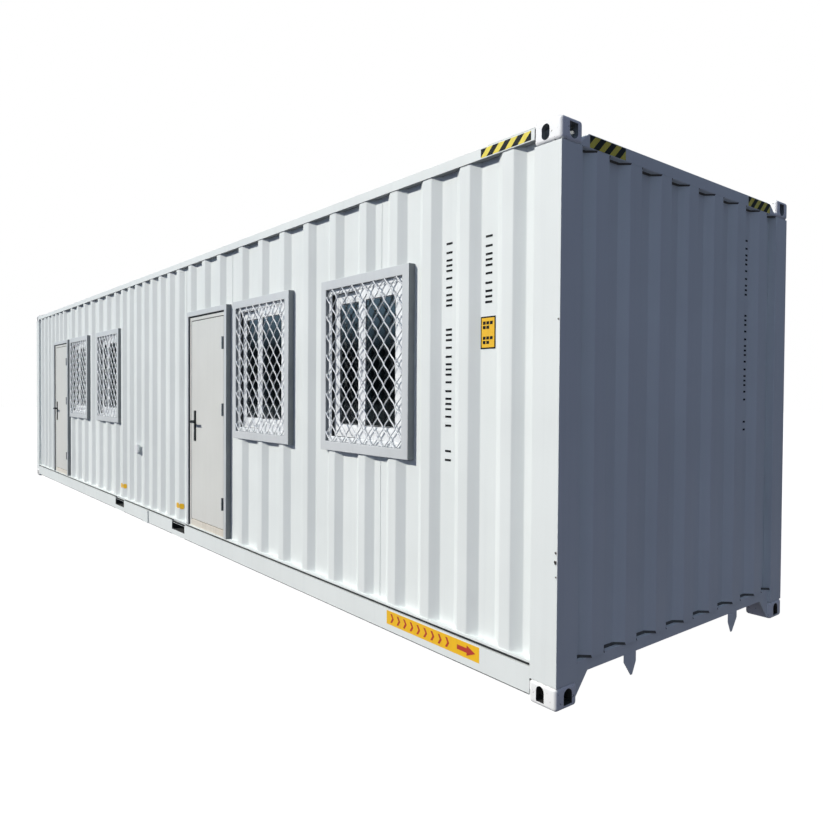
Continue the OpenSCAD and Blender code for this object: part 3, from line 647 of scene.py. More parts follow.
# the faces that are folded back, out of the wall's plane, take the second material, a darker grey as painted
# shade
def shadeOutOfPlane(bm):
    bm.normal_update()
    for face in bm.faces:
        face.material_index = int(abs(face.normal.y) < 0.3)
    return meshOf(bm)


def windowSurrounds():
    bm = bmesh.new()
    w = windowMember
    for x in windowX:
        addFrame(bm, x - openingHalf - w["surround"], x + openingHalf + w["surround"],
            openingLow - w["surround"],
            openingHigh + w["surround"], [w["surround"]] * 4,
            foldedProfile(w["surroundFront"], w["surroundBack"], w["fold"]))
    return shadeOutOfPlane(bm)


# fixed frame with its two sash tracks
def pvcFrames():
    bm = bmesh.new()
    w = windowMember
    front, back = w["frameFront"], w["frameBack"]
    profile = [(0, 0, back), (0, 0, front + 0.002), (0, 0.002, front), (1, -0.008, front),
        (1, -0.006, front + 0.001), (1, -0.005, front + 0.004), (1, 0, front + 0.005), (1, 0, front + 0.008),
        (1, 0, front + 0.033), (1, 0.004, front + 0.033), (1, 0.004, front + 0.035), (1, 0, front + 0.035),
        (1, 0, back)]
    for x in windowX:
        addFrame(bm, x - openingHalf, x + openingHalf, openingLow, openingHigh, [w["frame"]] * 4, profile)
        cap = w["drain"]
        for middle in (x - cap["apart"], x + cap["apart"]):
            addBox(bm, (middle - cap["half"], front - cap["deep"], openingLow + cap["low"]),
                (middle + cap["half"], front, openingLow + cap["high"]))
    return meshOf(bm)


# sash rings, their glazing beads' seals, black strips in the fixed frame's tracks that paint the tracks' shade,
# and a pull on each sash
def sashMeshes():
    rings, sealsAndShade = bmesh.new(), bmesh.new()
    w = windowMember
    low, high = openingLow + w["sashLow"], openingHigh - w["sashLow"]
    for x in windowX:
        for left, right, front, stile in (w["outerSash"], w["innerSash"]):
            widths = [stile, stile, w["sashBottom"], w["sashTop"]]
            back = front + w["sashThick"]
            middle = front + w["sashThick"] / 2
            profile = [(0, 0, back), (0, 0, front + 0.003), (0, 0.001, front + 0.001), (0, 0.003, front),
                (1, -0.020, front), (1, -0.018, front + 0.002), (1, -0.003, front + 0.005),
                (1, 0, front + 0.007), (1, 0, middle - 0.0026), (1, 0.006, middle - 0.0026),
                (1, 0.006, middle + 0.0026), (1, 0, middle + 0.0026), (1, 0, back - 0.005), (1, -0.015, back)]
            addFrame(rings, x + left, x + right, low, high, widths, profile)
            addFrame(sealsAndShade, x + left, x + right, low, high, widths,
                [(1, -0.001, front + 0.0065), (1, 0.004, front + 0.0065),
                (1, 0.004, middle - 0.0026), (1, -0.001, middle - 0.0026)])
        # black brush seals along both tracks of the fixed frame, wide enough to paint the shade in the tracks
        addFrame(sealsAndShade, x - openingHalf, x + openingHalf, openingLow, openingHigh, [w["frame"]] * 4,
            [(1, -0.001, w["frameFront"] + 0.0085),
            (1, 0.0014, w["frameFront"] + 0.009), (1, 0.0014, w["frameFront"] + 0.032),
            (1, -0.001, w["frameFront"] + 0.0325)])
        pull, face = w["pull"], w["outerSash"][2]
        grip = x + w["outerSash"][0] + pull["in"]
        addBox(rings, (grip, face - pull["deep"], pull["low"]), (grip + pull["wide"], face, pull["high"]))
    return meshOf(rings), meshOf(sealsAndShade)


finishPiece("windowSurrounds", windowSurrounds(), [surroundPaint, shadeGrey],
    ("window_surrounds",), 50)
finishPiece("windowFrames", bevelled(pvcFrames(), 0.0006, 1, 60), [whitePvc], ("window_frames",))
sashRings, sashSealsAndShade = sashMeshes()
finishPiece("windowSashes", bevelled(sashRings, 0.0006, 1, 60), [whitePvc], ("window_sashes",))
finishPiece("glazingSealsAndShade", sashSealsAndShade, [blackSealAndShade])


# one direction of bars: a line for each bar, cut off where it meets the opening's edge
def barLayer(tree, given, lean, front, radius):
    count = mathNode(tree, "MULTIPLY", given["Bars"], 2.0)
    line = addNode(tree, "GeometryNodeMeshLine", {"Count": count})
    index = addNode(tree, "GeometryNodeInputIndex")
    odd = mathNode(tree, "MODULO", index, 2.0)
    apart = addNode(tree, "GeometryNodeDeleteGeometry", {"Geometry": line, "Selection": odd},
        {"domain": "EDGE", "mode": "EDGE_FACE"})
    pair = mathNode(tree, "DIVIDE", index, 2.0)
    bar = mathNode(tree, "FLOOR", pair)
    lastBar = mathNode(tree, "SUBTRACT", given["Bars"], 1.0)
    middleBar = mathNode(tree, "MULTIPLY", lastBar, -0.5)
    fromMiddle = mathNode(tree, "ADD", bar, middleBar)
    crossing = mathNode(tree, "MULTIPLY", fromMiddle, given["Diamond width"])
    end = mathNode(tree, "MULTIPLY_ADD", odd, 2.0, -1.0)
    slope = mathNode(tree, "DIVIDE", given["Diamond width"], given["Diamond height"])
    run = mathNode(tree, "MULTIPLY", slope, given["Half height"])
    reach = mathNode(tree, "MULTIPLY_ADD", end, run, crossing)
    leftEdge = mathNode(tree, "MULTIPLY", given["Half width"], -1.0)
    x = addNode(tree, "ShaderNodeClamp", {0: reach, 1: leftEdge, 2: given["Half width"]})
    beside = mathNode(tree, "SUBTRACT", x, crossing)
    rise = mathNode(tree, "DIVIDE", beside, slope)
    z = mathNode(tree, "MULTIPLY", rise, lean)
    y = mathNode(tree, "MULTIPLY", radius, front)
    spot = addNode(tree, "ShaderNodeCombineXYZ", {0: x, 1: y, 2: z})
    straight = addNode(tree, "GeometryNodeSetPosition", {"Geometry": apart, "Position": spot})
    curves = addNode(tree, "GeometryNodeMeshToCurve", {0: straight})
    fine = addNode(tree, "GeometryNodeResampleCurve", {"Curve": curves, "Length": 0.0155}, {"mode": "LENGTH"})
    # each bar kinks a little steeper where the two layers cross
    here = addNode(tree, "ShaderNodeSeparateXYZ", {0: addNode(tree, "GeometryNodeInputPosition")})
    crossings = mathNode(tree, "DIVIDE", here.outputs[2], given["Diamond height"])
    phase = mathNode(tree, "MULTIPLY", crossings, 4 * math.pi)
    swing = mathNode(tree, "SINE", phase)
    size = mathNode(tree, "MULTIPLY", given["Kink"], -lean)
    aside = mathNode(tree, "MULTIPLY", swing, size)
    kinked = addNode(tree, "GeometryNodeSetPosition", {"Geometry": fine,
        "Offset": addNode(tree, "ShaderNodeCombineXYZ", {0: aside})})
    section = addNode(tree, "GeometryNodeCurvePrimitiveCircle", {"Resolution": 6, "Radius": radius})
    return addNode(tree, "GeometryNodeCurveToMesh", {"Curve": kinked, "Profile Curve": section,
        "Fill Caps": True})


# diamond grille of round bars, one layer welded over the other
def grilleTree():
    tree, given = startTree("diamondGrille", grille)
    layers = addNode(tree, "GeometryNodeJoinGeometry")
    for lean, front, radius in ((-1.0, -0.8, "Front bar radius"), (1.0, 0.8, "Back bar radius")):
        tree.links.new(barLayer(tree, given, lean, front, given[radius]).outputs[0], layers.inputs[0])
    return endTree(tree, layers, grillePaint)


grille = {"Bars": 15.0, "Diamond width": 0.125, "Diamond height": 0.137, "Half width": 0.446,
    "Half height": 0.537,
    "Front bar radius": 0.0048, "Back bar radius": 0.0042, "Kink": 0.003}
diamondGrille = grilleTree()
for name, x in zip(("front_grille_1", "front_grille_2", "rear_grille_1", "rear_grille_2"), windowX):
    bars = grown(bpy.data.meshes.new("empty"), diamondGrille, grille)
    bars.transform(Matrix.Translation((x, -1.2155, (openingLow + openingHigh) / 2)))
    finishPiece(name.replace("_", "") + "Bars", bars, [grillePaint], (name,), 60)
print("windows built")


door = {"surround": 0.048, "surroundHalf": 0.4805, "jamb": 0.042, "jambFront": -1.207, "jambBack": -1.122,
    "stopFace": -1.155, "stop": 0.014, "spindle": -0.2915,
    "cylinder": {"height": 1.165, "face": -1.2165, "radius": 0.0085, "tail": 0.021, "tailHalf": 0.005,
        "keyway": (-0.0009, 0.0009, -0.005, 0.005)}}


def doorSurrounds():
    bm = bmesh.new()
    for x in doorX.values():
        addFrame(bm, x - door["surroundHalf"], x + door["surroundHalf"], wallLow[2], doorFrameTop,
            [door["surround"]] * 4,
            foldedProfile(*[windowMember[key] for key in ("surroundFront", "surroundBack", "fold")]), True)
    return shadeOutOfPlane(bm)


# pressed steel frame with its rebate and stop
def doorFrames():
    bm = bmesh.new()
    half = door["surroundHalf"] - door["surround"]
    front, back, face, stop = door["jambFront"], door["jambBack"], door["stopFace"], door["stop"]
    profile = [(0, 0, back), (0, 0, front), (1, -0.003, front), (1, -0.001, front + 0.001),
        (1, 0, front + 0.003), (1, 0, face), (1, stop - 0.002, face), (1, stop, face + 0.002), (1, stop, back)]
    for x in doorX.values():
        addFrame(bm, x - half, x + half, wallLow[2], doorFrameTop - door["surround"], [door["jamb"]] * 4,
            profile, True)
    return meshOf(bm)


# black seal filling the gap round each leaf, which also paints the gap's shade, and a black strip between each
# frame and its surround that paints the surround's shadow
def doorSealsAndShade():
    bm = bmesh.new()
    half = door["surroundHalf"] - door["surround"] - door["jamb"]
    top = doorFrameTop - door["surround"] - door["jamb"]
    for x in doorX.values():
        addFrame(bm, x - half, x + half, 0.2695, top, [0.003] * 4,
            [(0, -0.0005, -1.1995), (0, -0.0005, -1.1555), (1, 0, -1.1555),
            (1, 0, -1.1985), (1, -0.001, -1.1995)], True)
        # painted shadow: a black strip, 12 mm wide at the left and top, where the surround shades the frame
        outer = half + door["jamb"]
        addFrame(bm, x - outer, x + outer, wallLow[2] + 0.001, top + door["jamb"], [0.012, 0.003, 0.012, 0.012],
            [(0, 0, -1.2065), (0, 0, -1.2105), (1, -0.001, -1.2105), (1, 0, -1.2095), (1, 0, -1.2065)], True)
    return meshOf(bm)


finishPiece("doorSurrounds", doorSurrounds(), [surroundPaint, shadeGrey],
    ("door_surrounds",), 50)
finishPiece("doorFrames", doorFrames(), [doorCoat], ("door_frames",), 50)
finishPiece("doorSealsAndShade", doorSealsAndShade(), [blackSealAndShade])
pockets = bevelled(mergedCopy("fork_pockets"), 0.002, 2)
# all but the front rim take the dark underseal, which also paints the shade deep inside each pocket
for face in pockets.polygons:
    face.material_index = int(face.normal.y > -0.5)
finishPiece("forkPockets", pockets, [containerPaint, undersealAndShade], ("fork_pockets",))
finishPiece("doorThresholds", bevelled(mergedCopy("thresholds"), 0.003), [thresholdPaint],
    ("thresholds",))
finishPiece("frameHinges", bevelled(mergedCopy("frame_hinges"), 0.0008, 2), [zincSteel],
    ("frame_hinges",))
for side in ("front", "rear"):
    for part, material, slotName, edge, body in (("leaf", doorCoat, "door_paint", 0.0025, "door"),
            ("hinges", zincSteel, "hinge_steel", 0.0008, "door"),
            ("plates", blackCoat, "black_metal", 0.003, "door"),
            ("lever", blackCoat, "black_metal", 0.004, "lever")):
        node = f"{side}_door_{part}"
        finishPiece(f"{side}Door{part.capitalize()}", bevelled(mergedCopy(node), edge), [material],
            (node,),
            body=f"{side}_{body}")
print("doors built")


# a pan head on each point, facing -Y
def headTree(material):
    tree, given = startTree("panHeads", ("Radius", "Height"))
    crown = mathNode(tree, "MULTIPLY", given["Radius"], 0.62)
    head = addNode(tree, "GeometryNodeMeshCone", {"Vertices": 12, "Radius Top": crown,
        "Radius Bottom": given["Radius"], "Depth": given["Height"]})
    placed = addNode(tree, "GeometryNodeInstanceOnPoints", {"Points": given["Geometry"], "Instance": head,
        "Rotation": (math.pi / 2, 0, 0)})
    return endTree(tree, placed, material)


def pointMesh(points):
    mesh = bpy.data.meshes.new("points")
    mesh.from_pydata(points, [], [])
    return mesh


zincHeads, blackHeads = headTree(zincSteel), headTree(blackCoat)
screws = {"hinge": {"Radius": 0.0042, "Height": 0.0022}, "plate": {"Radius": 0.0038, "Height": 0.002},
    "hingeLine": 0.387, "hingeHeights": (0.456, 1.326, 1.941), "plateHeights": (1.075, 1.345),
    "frameFace": -1.2105, "leafFace": -1.2135, "plateFace": -1.2138, "leafRise": 0.0575,
    # from the hinge line and the hinge's foot
    "onFrame": ((0.019, 0.012), (0.027, 0.030), (0.027, 0.085), (0.019, 0.103)), "onLeaf": (-0.027, -0.016)}
frameScrews = [(x + screws["hingeLine"] + dx, screws["frameFace"], z + dz) for x in doorX.values()
    for z in screws["hingeHeights"] for dx, dz in screws["onFrame"]]
finishPiece("frameHingeScrews", grown(pointMesh(frameScrews), zincHeads, screws["hinge"]), [zincSteel])
for side, x in doorX.items():
    leafScrews = [(x + screws["hingeLine"] + dx, screws["leafFace"], z + screws["leafRise"])
        for z in screws["hingeHeights"] for dx in screws["onLeaf"]]
    finishPiece(f"{side}HingeScrews", grown(pointMesh(leafScrews), zincHeads, screws["hinge"]), [zincSteel],
        body=f"{side}_door")
    plateScrews = [(x + door["spindle"], screws["plateFace"], z) for z in screws["plateHeights"]]
    finishPiece(f"{side}PlateScrews", grown(pointMesh(plateScrews), blackHeads, screws["plate"]), [blackCoat],
        body=f"{side}_door")


# keyhole cylinder through each outer handle plate: a round plug with a narrow tail
def lockCylinder(x):
    bm = bmesh.new()
    lock = door["cylinder"]
    turns = [math.radians(-55 + 290 * k / 18) for k in range(19)]
    outline = [(math.cos(turn) * lock["radius"], math.sin(turn) * lock["radius"]) for turn in turns]
    outline += [(-lock["tailHalf"], -lock["tail"]), (lock["tailHalf"], -lock["tail"])]
    place = ((x, lock["face"], lock["height"]), (1, 0, 0), (0, 0, 1))
    addPrism(bm, outline, *place, (0, 0.006, 0))
    # black film over the key slot: painted shade for the slot's depth
    addPrism(bm, rectangle(*lock["keyway"]), *place, (0, -0.0004, 0), 1)
    return bevelled(meshOf(bm), 0.0004, 1)


for side, x in doorX.items():
    finishPiece(f"{side}LockCylinder", lockCylinder(x + door["spindle"]), [zincSteel, blackSealAndShade],
        body=f"{side}_door")
print("fixings set")


# sizes of the black strips on the bottom rails and of the dark fillets that paint shade in the end walls'
# valleys
darkStrips = {"groove": (0.1765, 0.1945), "footEdge": (0.0345, 0.0385), "ridgeFace": 6.0805, "valleyFace": 6.0395,
    "sillTop": 0.2052, "fillet": 0.013, "railFoot": 2.7815, "headFillet": 0.009,
    # strips stop at the fork pockets
    "strips": ((-5.917, -1.207), (-0.843, 0.843), (1.207, 5.917)), "grooveOut": (1.1945, 1.2035),
    "footOut": (1.212, 1.2156),
    "halfRidge": 0.0535, "slope": 0.048, "postGap": 0.003}


# black strips in the groove over each bottom rail, painted shade under the wall's lip, and a black strip along
# the edge of the rail's foot
def railStrips():
    bm = bmesh.new()
    for side in (-1, 1):
        for out, (low, high) in ((darkStrips["grooveOut"], darkStrips["groove"]),
                (darkStrips["footOut"], darkStrips["footEdge"])):
            ys = sorted(side * y for y in out)
            for x0, x1 in darkStrips["strips"]:
                addBox(bm, (x0, ys[0], low), (x1, ys[1], high))
    return meshOf(bm)


# bead that follows a line of points, slightly lumpy
def beadTree():
    tree, given = startTree("sealBead", ("Radius", "Lumps"))
    curve = addNode(tree, "GeometryNodeMeshToCurve", {0: given["Geometry"]})
    fine = addNode(tree, "GeometryNodeResampleCurve", {"Curve": curve, "Length": 0.03}, {"mode": "LENGTH"})
    section = addNode(tree, "GeometryNodeCurvePrimitiveCircle", {"Resolution": 6, "Radius": given["Radius"]})
    bead = addNode(tree, "GeometryNodeCurveToMesh", {"Curve": fine, "Profile Curve": section,
        "Fill Caps": True})
    grit = noise(tree, addNode(tree, "GeometryNodeInputPosition"), 40.0, 1.0)
    lump = mathNode(tree, "MULTIPLY_ADD", grit, given["Lumps"], -0.0005)
    push = addNode(tree, "ShaderNodeVectorMath", {0: addNode(tree, "GeometryNodeInputNormal"), "Scale": lump},
        {"operation": "SCALE"})
    uneven = addNode(tree, "GeometryNodeSetPosition", {"Geometry": bead, "Offset": push})
    return endTree(tree, uneven, containerPaint)


def lineMesh(lines):
    mesh = bpy.data.meshes.new("lines")
    points, edges = [], []
    for line in lines:
        edges += [(len(points) + k, len(points) + k + 1) for k in range(len(line) - 1)]
        points += line
    mesh.from_pydata(points, edges, [])
    return mesh


# upright welds where the sheets meet each other and the posts
weld = {"runJoins": (4.572, 2.275, 1.158, -1.089, -3.808), "side": (5.9165, 1.1748), "end": (6.0408, 1.0555),
    "endLow": 0.207, "endHigh": 2.780, "short": 0.002,
    "upright": {"Radius": 0.0014, "Lumps": 0.0008}, "foot": {"Radius": 0.0022, "Lumps": 0.0012}}
sideLow, sideHigh = wallLow[2] + weld["short"], wallHigh[2] - weld["short"]
uprights = [[(x, -weld["side"][1], sideLow), (x, -weld["side"][1], sideHigh)] for x in weld["runJoins"]]
for (x, y), low, high in ((weld["side"], sideLow, sideHigh), (weld["end"], weld["endLow"], weld["endHigh"])):
    uprights += [[(sx * x, sy * y, low), (sx * x, sy * y, high)] for sx in (-1, 1) for sy in (-1, 1)]
finishPiece("sheetWelds", grown(lineMesh(uprights), beadTree(), weld["upright"]), [containerPaint])


# foot of a corrugated sheet, as points along its outline
def footLine(half, centres, ridge, web, out, inward):
    line = [(-half, inward)]
    for x in sorted(centres):
        line += [(x - ridge / 2 - web, inward), (x - ridge / 2, out), (x + ridge / 2, out),
            (x + ridge / 2 + web, inward)]
    return line + [(half, inward)]


def footBeads():
    centres = [first - k * pitch for first, pitch, count in sideWall["runs"] for k in range(count)]
    full = footLine(postX - 0.002, centres, sideWall["ridge"], sideWall["web"], -1.2105, -1.1745)
    walls, current = [], []
    for x, y in full:
        if any(abs(x - dx) < door["surroundHalf"] + 0.004 for dx in doorX.values()):
            walls, current = walls + [current], []
        else:
            current.append((x, y, wallLow[2] + 0.0012))
    return [line for line in walls + [current] if len(line) > 1]


# dark grey fillet along the foot and the head of every valley of the end walls: painted shade on the sill and
# under the top rail
def paintedValleyShade():
    bm = bmesh.new()
    w, pitch = darkStrips, endWall["runs"][0][1]
    for sx in (-1, 1):
        for k in range(-3, 5):
            left = max((k - 1) * pitch + w["halfRidge"], w["postGap"] - postY)
            right = min(k * pitch - w["halfRidge"], postY - w["postGap"])
            path = ((left, w["ridgeFace"]), (left + w["slope"], w["valleyFace"]),
                (right - w["slope"], w["valleyFace"]), (right, w["ridgeFace"]))
            for level, rise in ((w["sillTop"], w["fillet"]), (w["railFoot"], -w["headFillet"])):
                rings = []
                for y, out in path:
                    section = ((out, level), (out, level + rise), (out + 0.004, level + rise),
                        (out + 0.010, level))
                    rings.append([bm.verts.new((sx * x, y, z)) for x, z in section])
                made = [bm.faces.new(rings[0]), bm.faces.new(rings[-1])]
                for a, b in zip(rings, rings[1:]):
                    made += [bm.faces.new((a[j], a[(j + 1) % 4], b[(j + 1) % 4], b[j])) for j in range(4)]
                bmesh.ops.recalc_face_normals(bm, faces=made)
    return meshOf(bm)


finishPiece("footBead", grown(lineMesh(footBeads()), beadTree(), weld["foot"]), [containerPaint])
finishPiece("valleyShadeFillets", paintedValleyShade(), [valleyShadeGrey])
finishPiece("railDarkStrips", railStrips(), [blackSealAndShade])

sticker = {"film": 0.0006, "band": 0.360, "stripe": 0.045, "bandEnd": 5.895, "railFace": 1.215,
    "endRailFace": 6.080,
    "sideBand": (2.8215, 2.8685), "endBand": (2.7885, 2.8505), "endBandAcross": (0.68, 0.984),
    "label": (4.705, 5.555, 0.080, 0.166), "chevrons": 9, "chevronStart": 4.745, "chevronPitch": 0.066,
    "plate": (5.503, 5.617, 1.795, 1.972), "plateInside": (5.511, 5.609, 1.803, 1.964),
    "plateRows": (1.822, 1.846, 1.904, 1.928), "plateColumns": (5.521, 5.548, 5.575), "block": (0.021, 0.017),
    "pocketRidges": (1.002, -0.944), "pocketHeight": 0.028, "pocketCorner": 0.012}


# keeps the part of an outline with u between two limits
def clippedAcross(outline, left, right):
    for limit, sign in ((left, 1), (right, -1)):
        kept = []
        for (u0, v0), (u1, v1) in zip(outline, outline[1:] + outline[:1]):
            in0, in1 = sign * (u0 - limit) > 1e-6, sign * (u1 - limit) > 1e-6
            if in0:
                kept.append((u0, v0))
            if in0 != in1 and abs(u1 - u0) > 1e-9:
                t = (limit - u0) / (u1 - u0)
                kept.append((limit, v0 + t * (v1 - v0)))
        outline = kept
        if len(outline) < 3:
            return []
    return outline


# yellow band with black stripes that lean to the right, cut off square at the band's ends
def addHazardBand(bm, left, right, low, high, origin, uAxis):
    film, vAxis = sticker["film"], Vector((0, 0, 1))
    outward = Vector(uAxis).cross(vAxis)
    addPrism(bm, rectangle(left, right, low, high), origin, uAxis, vAxis, outward * film, 0)
    lean, step = high - low, sticker["stripe"]
    start = left - lean
    while start < right:
        corners = [(start, low), (start + step, low), (start + step + lean, high), (start + lean, high)]
        clipped = clippedAcross(corners, left, right)
        if clipped:
            addPrism(bm, clipped, Vector(origin) + outward * film, uAxis, vAxis, outward * film * 0.6, 1)
        start += 2 * step


def hazardBands():
    bm = bmesh.new()
    near, far = sticker["endBandAcross"]
    for sx in (-1, 1):
        for sy in (-1, 1):
            left, right = sorted((sx * (sticker["bandEnd"] - sticker["band"]), sx * sticker["bandEnd"]))
            turn = -sy
            left, right = (left, right) if turn > 0 else (-right, -left)
            if sx > 0 or sy > 0:
                addHazardBand(bm, left, right, *sticker["sideBand"], (0, sy * sticker["railFace"], 0),
                    (turn, 0, 0))
        for left, right in ((-far, -near), (near, far)):
            addHazardBand(bm, left, right, *sticker["endBand"], (sx * sticker["endRailFace"], 0, 0), (0, sx, 0))
    return meshOf(bm)


finishPiece("hazardBands", hazardBands(), [lemonVinyl, blackVinyl])


# plain label on the bottom rail: chevrons and an arrow that point to the gooseneck end
def gooseneckLabel():
    bm = bmesh.new()
    film, face = sticker["film"], -sticker["railFace"]
    place = ((1, 0, 0), (0, 0, 1), (0, -film, 0))
    addPrism(bm, rectangle(*sticker["label"]), (0, face, 0), *place, 0)
    for k in range(sticker["chevrons"]):
        x = sticker["chevronStart"] + k * sticker["chevronPitch"]
        chevron = [(x, 0.095), (x + 0.017, 0.095), (x + 0.036, 0.123), (x + 0.017, 0.151), (x, 0.151),
            (x + 0.019, 0.123)]
        addPrism(bm, chevron, (0, face - film, 0), *place, 1)
    arrow = [(5.375, 0.110), (5.455, 0.110), (5.455, 0.094), (5.525, 0.123), (5.455, 0.152), (5.455, 0.136),
        (5.375, 0.136)]
    addPrism(bm, arrow, (0, face - film, 0), *place, 1)
    return meshOf(bm)


# yellow size plate with a black border and plain bars, and small yellow pocket stickers
def wallStickers():
    bm = bmesh.new()
    film, face = sticker["film"], -sideWall["valley"]
    place = ((1, 0, 0), (0, 0, 1), (0, -film, 0))
    addPrism(bm, rectangle(*sticker["plate"]), (0, face, 0), *place, 1)
    addPrism(bm, rectangle(*sticker["plateInside"]), (0, face - film, 0), *place, 0)
    blockWide, blockTall = sticker["block"]
    for k, z in enumerate(sticker["plateRows"]):
        for left in sticker["plateColumns"][:3 if k % 2 else 2]:
            block = rectangle(left, left + blockWide, z, z + blockTall)
            addPrism(bm, block, (0, face - 2 * film, 0), *place, 1)
    ridgeAxis, webAxis = Vector((1, 0, 0)), Vector((0.8716, 0.4903, 0))
    tall, cut = sticker["pocketHeight"], sticker["pocketCorner"]
    for ridge in sticker["pocketRidges"]:
        for origin, uAxis, wide in (((ridge, -1.2102, 0.356), ridgeAxis, 0.035),
                ((ridge + 0.070, -1.1934, 0.352), webAxis, 0.031)):
            octagon = [(sx * (wide - a), sz * (tall - b)) for sx, sz, a,
                b in ((-1, -1, cut, 0), (1, -1, cut, 0),
                (1, -1, 0, cut), (1, 1, 0, cut), (1, 1, cut, 0), (-1, 1, cut, 0), (-1, 1, 0, cut),
                (-1, -1, 0, cut))]
            addPrism(bm, octagon, origin, uAxis, (0, 0, 1), uAxis.cross(Vector((0, 0, 1))) * film, 0)
    return meshOf(bm)


finishPiece("gooseneckLabel", gooseneckLabel(), [yellowVinyl, redVinyl])
finishPiece("wallStickers", wallStickers(), [yellowVinyl, blackVinyl])

tally = {"pitch": 0.100, "bar": 0.012, "width": 0.052, "skip": (4, 11), "endFace": 6.040,
    # place along the wall, top and count of each column
    "long": (5.238, 2.44, 13), "short": (5.563, 2.43, 4), "end": (0.732, 2.60, 13)}


# columns of plain black tally bars: two or three to a mark
def addTally(bm, u, top, count, origin, uAxis, skip=()):
    outward = Vector(uAxis).cross(Vector((0, 0, 1)))
    for k in range(count):
        if k in skip:
            continue
        middle, halfWide, halfBar = top - (k + 0.5) * tally["pitch"], tally["width"] / 2, tally["bar"] / 2
        for dz in ((-0.026, 0.026), (-0.030, 0.0, 0.030))[k % 2]:
            bar = rectangle(u - halfWide, u + halfWide, middle + dz - halfBar, middle + dz + halfBar)
            addPrism(bm, bar, origin, uAxis, (0, 0, 1), outward * sticker["film"])


def tallyMarks():
    bm = bmesh.new()
    addTally(bm, *tally["long"], (0, -sideWall["valley"], 0), (1, 0, 0), tally["skip"])
    addTally(bm, *tally["short"], (0, -sideWall["valley"], 0), (1, 0, 0))
    addTally(bm, *tally["end"], (tally["endFace"], 0, 0), (0, 1, 0), tally["skip"])
    return meshOf(bm)


finishPiece("tallyMarks", tallyMarks(), [blackVinyl])

# knocked spots on the front post's edge: centre height, half height and half width of each
knocks = {"spots": [(0.735, 0.011, 0.008), (0.782, 0.007, 0.006), (0.664, 0.005, 0.004), (1.915, 0.006, 0.004)],
    "paintEdge": 6.089}


def edgeKnocks():
    bm = bmesh.new()
    for height, tall, wide in knocks["spots"]:
        uneven = [(wide * scale * math.cos(k * math.pi / 4), height + tall * scale * math.sin(k * math.pi / 4))
            for k, scale in enumerate((0.8, 1.0, 0.7, 1.1, 0.9, 0.75, 1.05, 0.85))]
        addPrism(bm, uneven, (knocks["paintEdge"] - wide, -1.2188, 0), (1, 0, 0), (0, 0, 1), (0, -0.0006, 0))
    return meshOf(bm)


finishPiece("postKnocks", edgeKnocks(), [darkRustAndShade])
print("seals and stickers placed")


for name in ("gooseneck_tunnel", "cross_members"):
    nodes[name].material_slots[0].material = undersealAndShade
for name in ("back_lining", "end_linings", "door_side_lining", "lining_over_doors", "ceiling"):
    nodes[name].material_slots[0].material = liningPanel
nodes["floor_boards"].material_slots[0].material = plywood
nodes["window_panes"].material_slots[0].material = windowGlass
nodes["inlet_box"].material_slots[0].material = whitePvc


studio = {"sunFrom": (-0.393, -0.740, 0.545), "sun": 3.42, "sunColour": "#fffcf5", "sunAngle": 1.2,
    "sky": "#9ba4c4", "skyStrength": 0.45, "groundShare": 0.3, "floorSize": 60, "floorGrey": 0.12}


def paleFloor():
    bm = bmesh.new()
    bmesh.ops.create_grid(bm, x_segments=1, y_segments=1, size=studio["floorSize"])
    floor = linked("paleFloor", meshOf(bm, "paleFloor"))
    material = bpy.data.materials.new("paleFloor")
    material.use_nodes = True
    tree = material.node_tree
    feed(tree, tree.nodes["Principled BSDF"], {"Base Color": (*[studio["floorGrey"]] * 3, 1), "Roughness": 1.0,
        "Specular IOR Level": 0.0, "Emission Color": (1, 1, 1, 1), "Emission Strength": 1.0})
    floor.data.materials.append(material)
    floor.visible_diffuse = False
    floor.visible_glossy = False


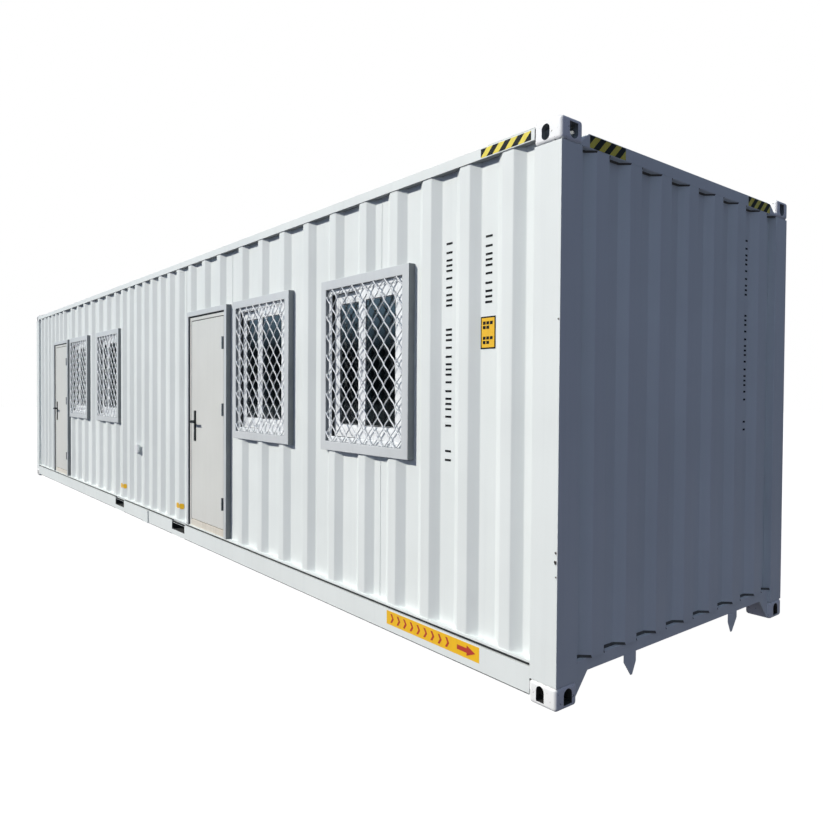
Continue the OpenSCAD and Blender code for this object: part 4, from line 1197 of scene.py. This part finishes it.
# white backdrop for the camera; weak blue sky light; glass mirrors a sky that darkens at the horizon
def studioWorld():
    world = bpy.data.worlds.new("studio")
    scene.world = world
    world.use_nodes = True
    tree = world.node_tree
    tree.nodes.clear()
    ray = addNode(tree, "ShaderNodeLightPath")
    place = addNode(tree, "ShaderNodeTexCoord")
    axes = addNode(tree, "ShaderNodeSeparateXYZ", {0: place.outputs["Generated"]})
    above = ranged(tree, axes.outputs[2], 0.06, 0.12)
    sunny = ranged(tree, axes.outputs[1], 0.1, -0.4, 0.3, 1.0)
    bright = mathNode(tree, "MULTIPLY", above, sunny)
    sky = mixed(tree, bright, (0.012, 0.016, 0.02, 1), (0.75, 1.15, 1.5, 1))
    below = ranged(tree, axes.outputs[2], -0.09, -0.15)
    mirrored = mixed(tree, below, sky, (0.42, 0.42, 0.41, 1))
    overhead = ranged(tree, axes.outputs[2], -0.1, 0.1, studio["skyStrength"] * studio["groundShare"],
        studio["skyStrength"])
    sideways = ranged(tree, axes.outputs[1], -1.0, 1.0, 1.35, 0.65)
    strength = mathNode(tree, "MULTIPLY", overhead, sideways)
    dim = addNode(tree, "ShaderNodeBackground", {0: linear(studio["sky"]), 1: strength})
    mirror = addNode(tree, "ShaderNodeBackground", {0: mirrored, 1: 1.0})
    white = addNode(tree, "ShaderNodeBackground", {0: (1, 1, 1, 1), 1: 1.0})
    glossy = addNode(tree, "ShaderNodeMixShader", {0: ray.outputs["Is Glossy Ray"], 1: dim, 2: mirror})
    seen = addNode(tree, "ShaderNodeMixShader", {0: ray.outputs["Is Camera Ray"], 1: glossy, 2: white})
    addNode(tree, "ShaderNodeOutputWorld", {0: seen})


def sunLamp():
    lamp = bpy.data.lights.new("sun", "SUN")
    lamp.energy, lamp.angle = studio["sun"], math.radians(studio["sunAngle"])
    lamp.color = linear(studio["sunColour"])[:3]
    sun = linked("sun", lamp)
    sun.rotation_euler = Vector(studio["sunFrom"]).to_track_quat("Z", "Y").to_euler()


view = {"place": (8.277, -3.848, 1.556), "yaw": 50.43, "pitch": -1.08, "roll": 0.41, "lens": 30.52,
    "shift": (-0.0185, -0.0072)}


def placeCamera():
    yaw, pitch, roll = [math.radians(view[key]) for key in ("yaw", "pitch", "roll")]
    ahead = Vector((-math.sin(yaw) * math.cos(pitch), math.cos(yaw) * math.cos(pitch), math.sin(pitch)))
    level = Vector((math.cos(yaw), math.sin(yaw), 0))
    up = level.cross(ahead)
    right = level * math.cos(roll) + up * math.sin(roll)
    top = up * math.cos(roll) - level * math.sin(roll)
    lens = bpy.data.cameras.new("camera")
    lens.lens, lens.sensor_width = view["lens"], 36
    lens.shift_x, lens.shift_y = view["shift"]
    camera = linked("camera", lens)
    turn = Matrix((right, top, -ahead)).transposed().to_4x4()
    camera.matrix_world = Matrix.Translation(view["place"]) @ turn
    scene.camera = camera


paleFloor()
studioWorld()
sunLamp()
placeCamera()
print("floor, light and camera set")
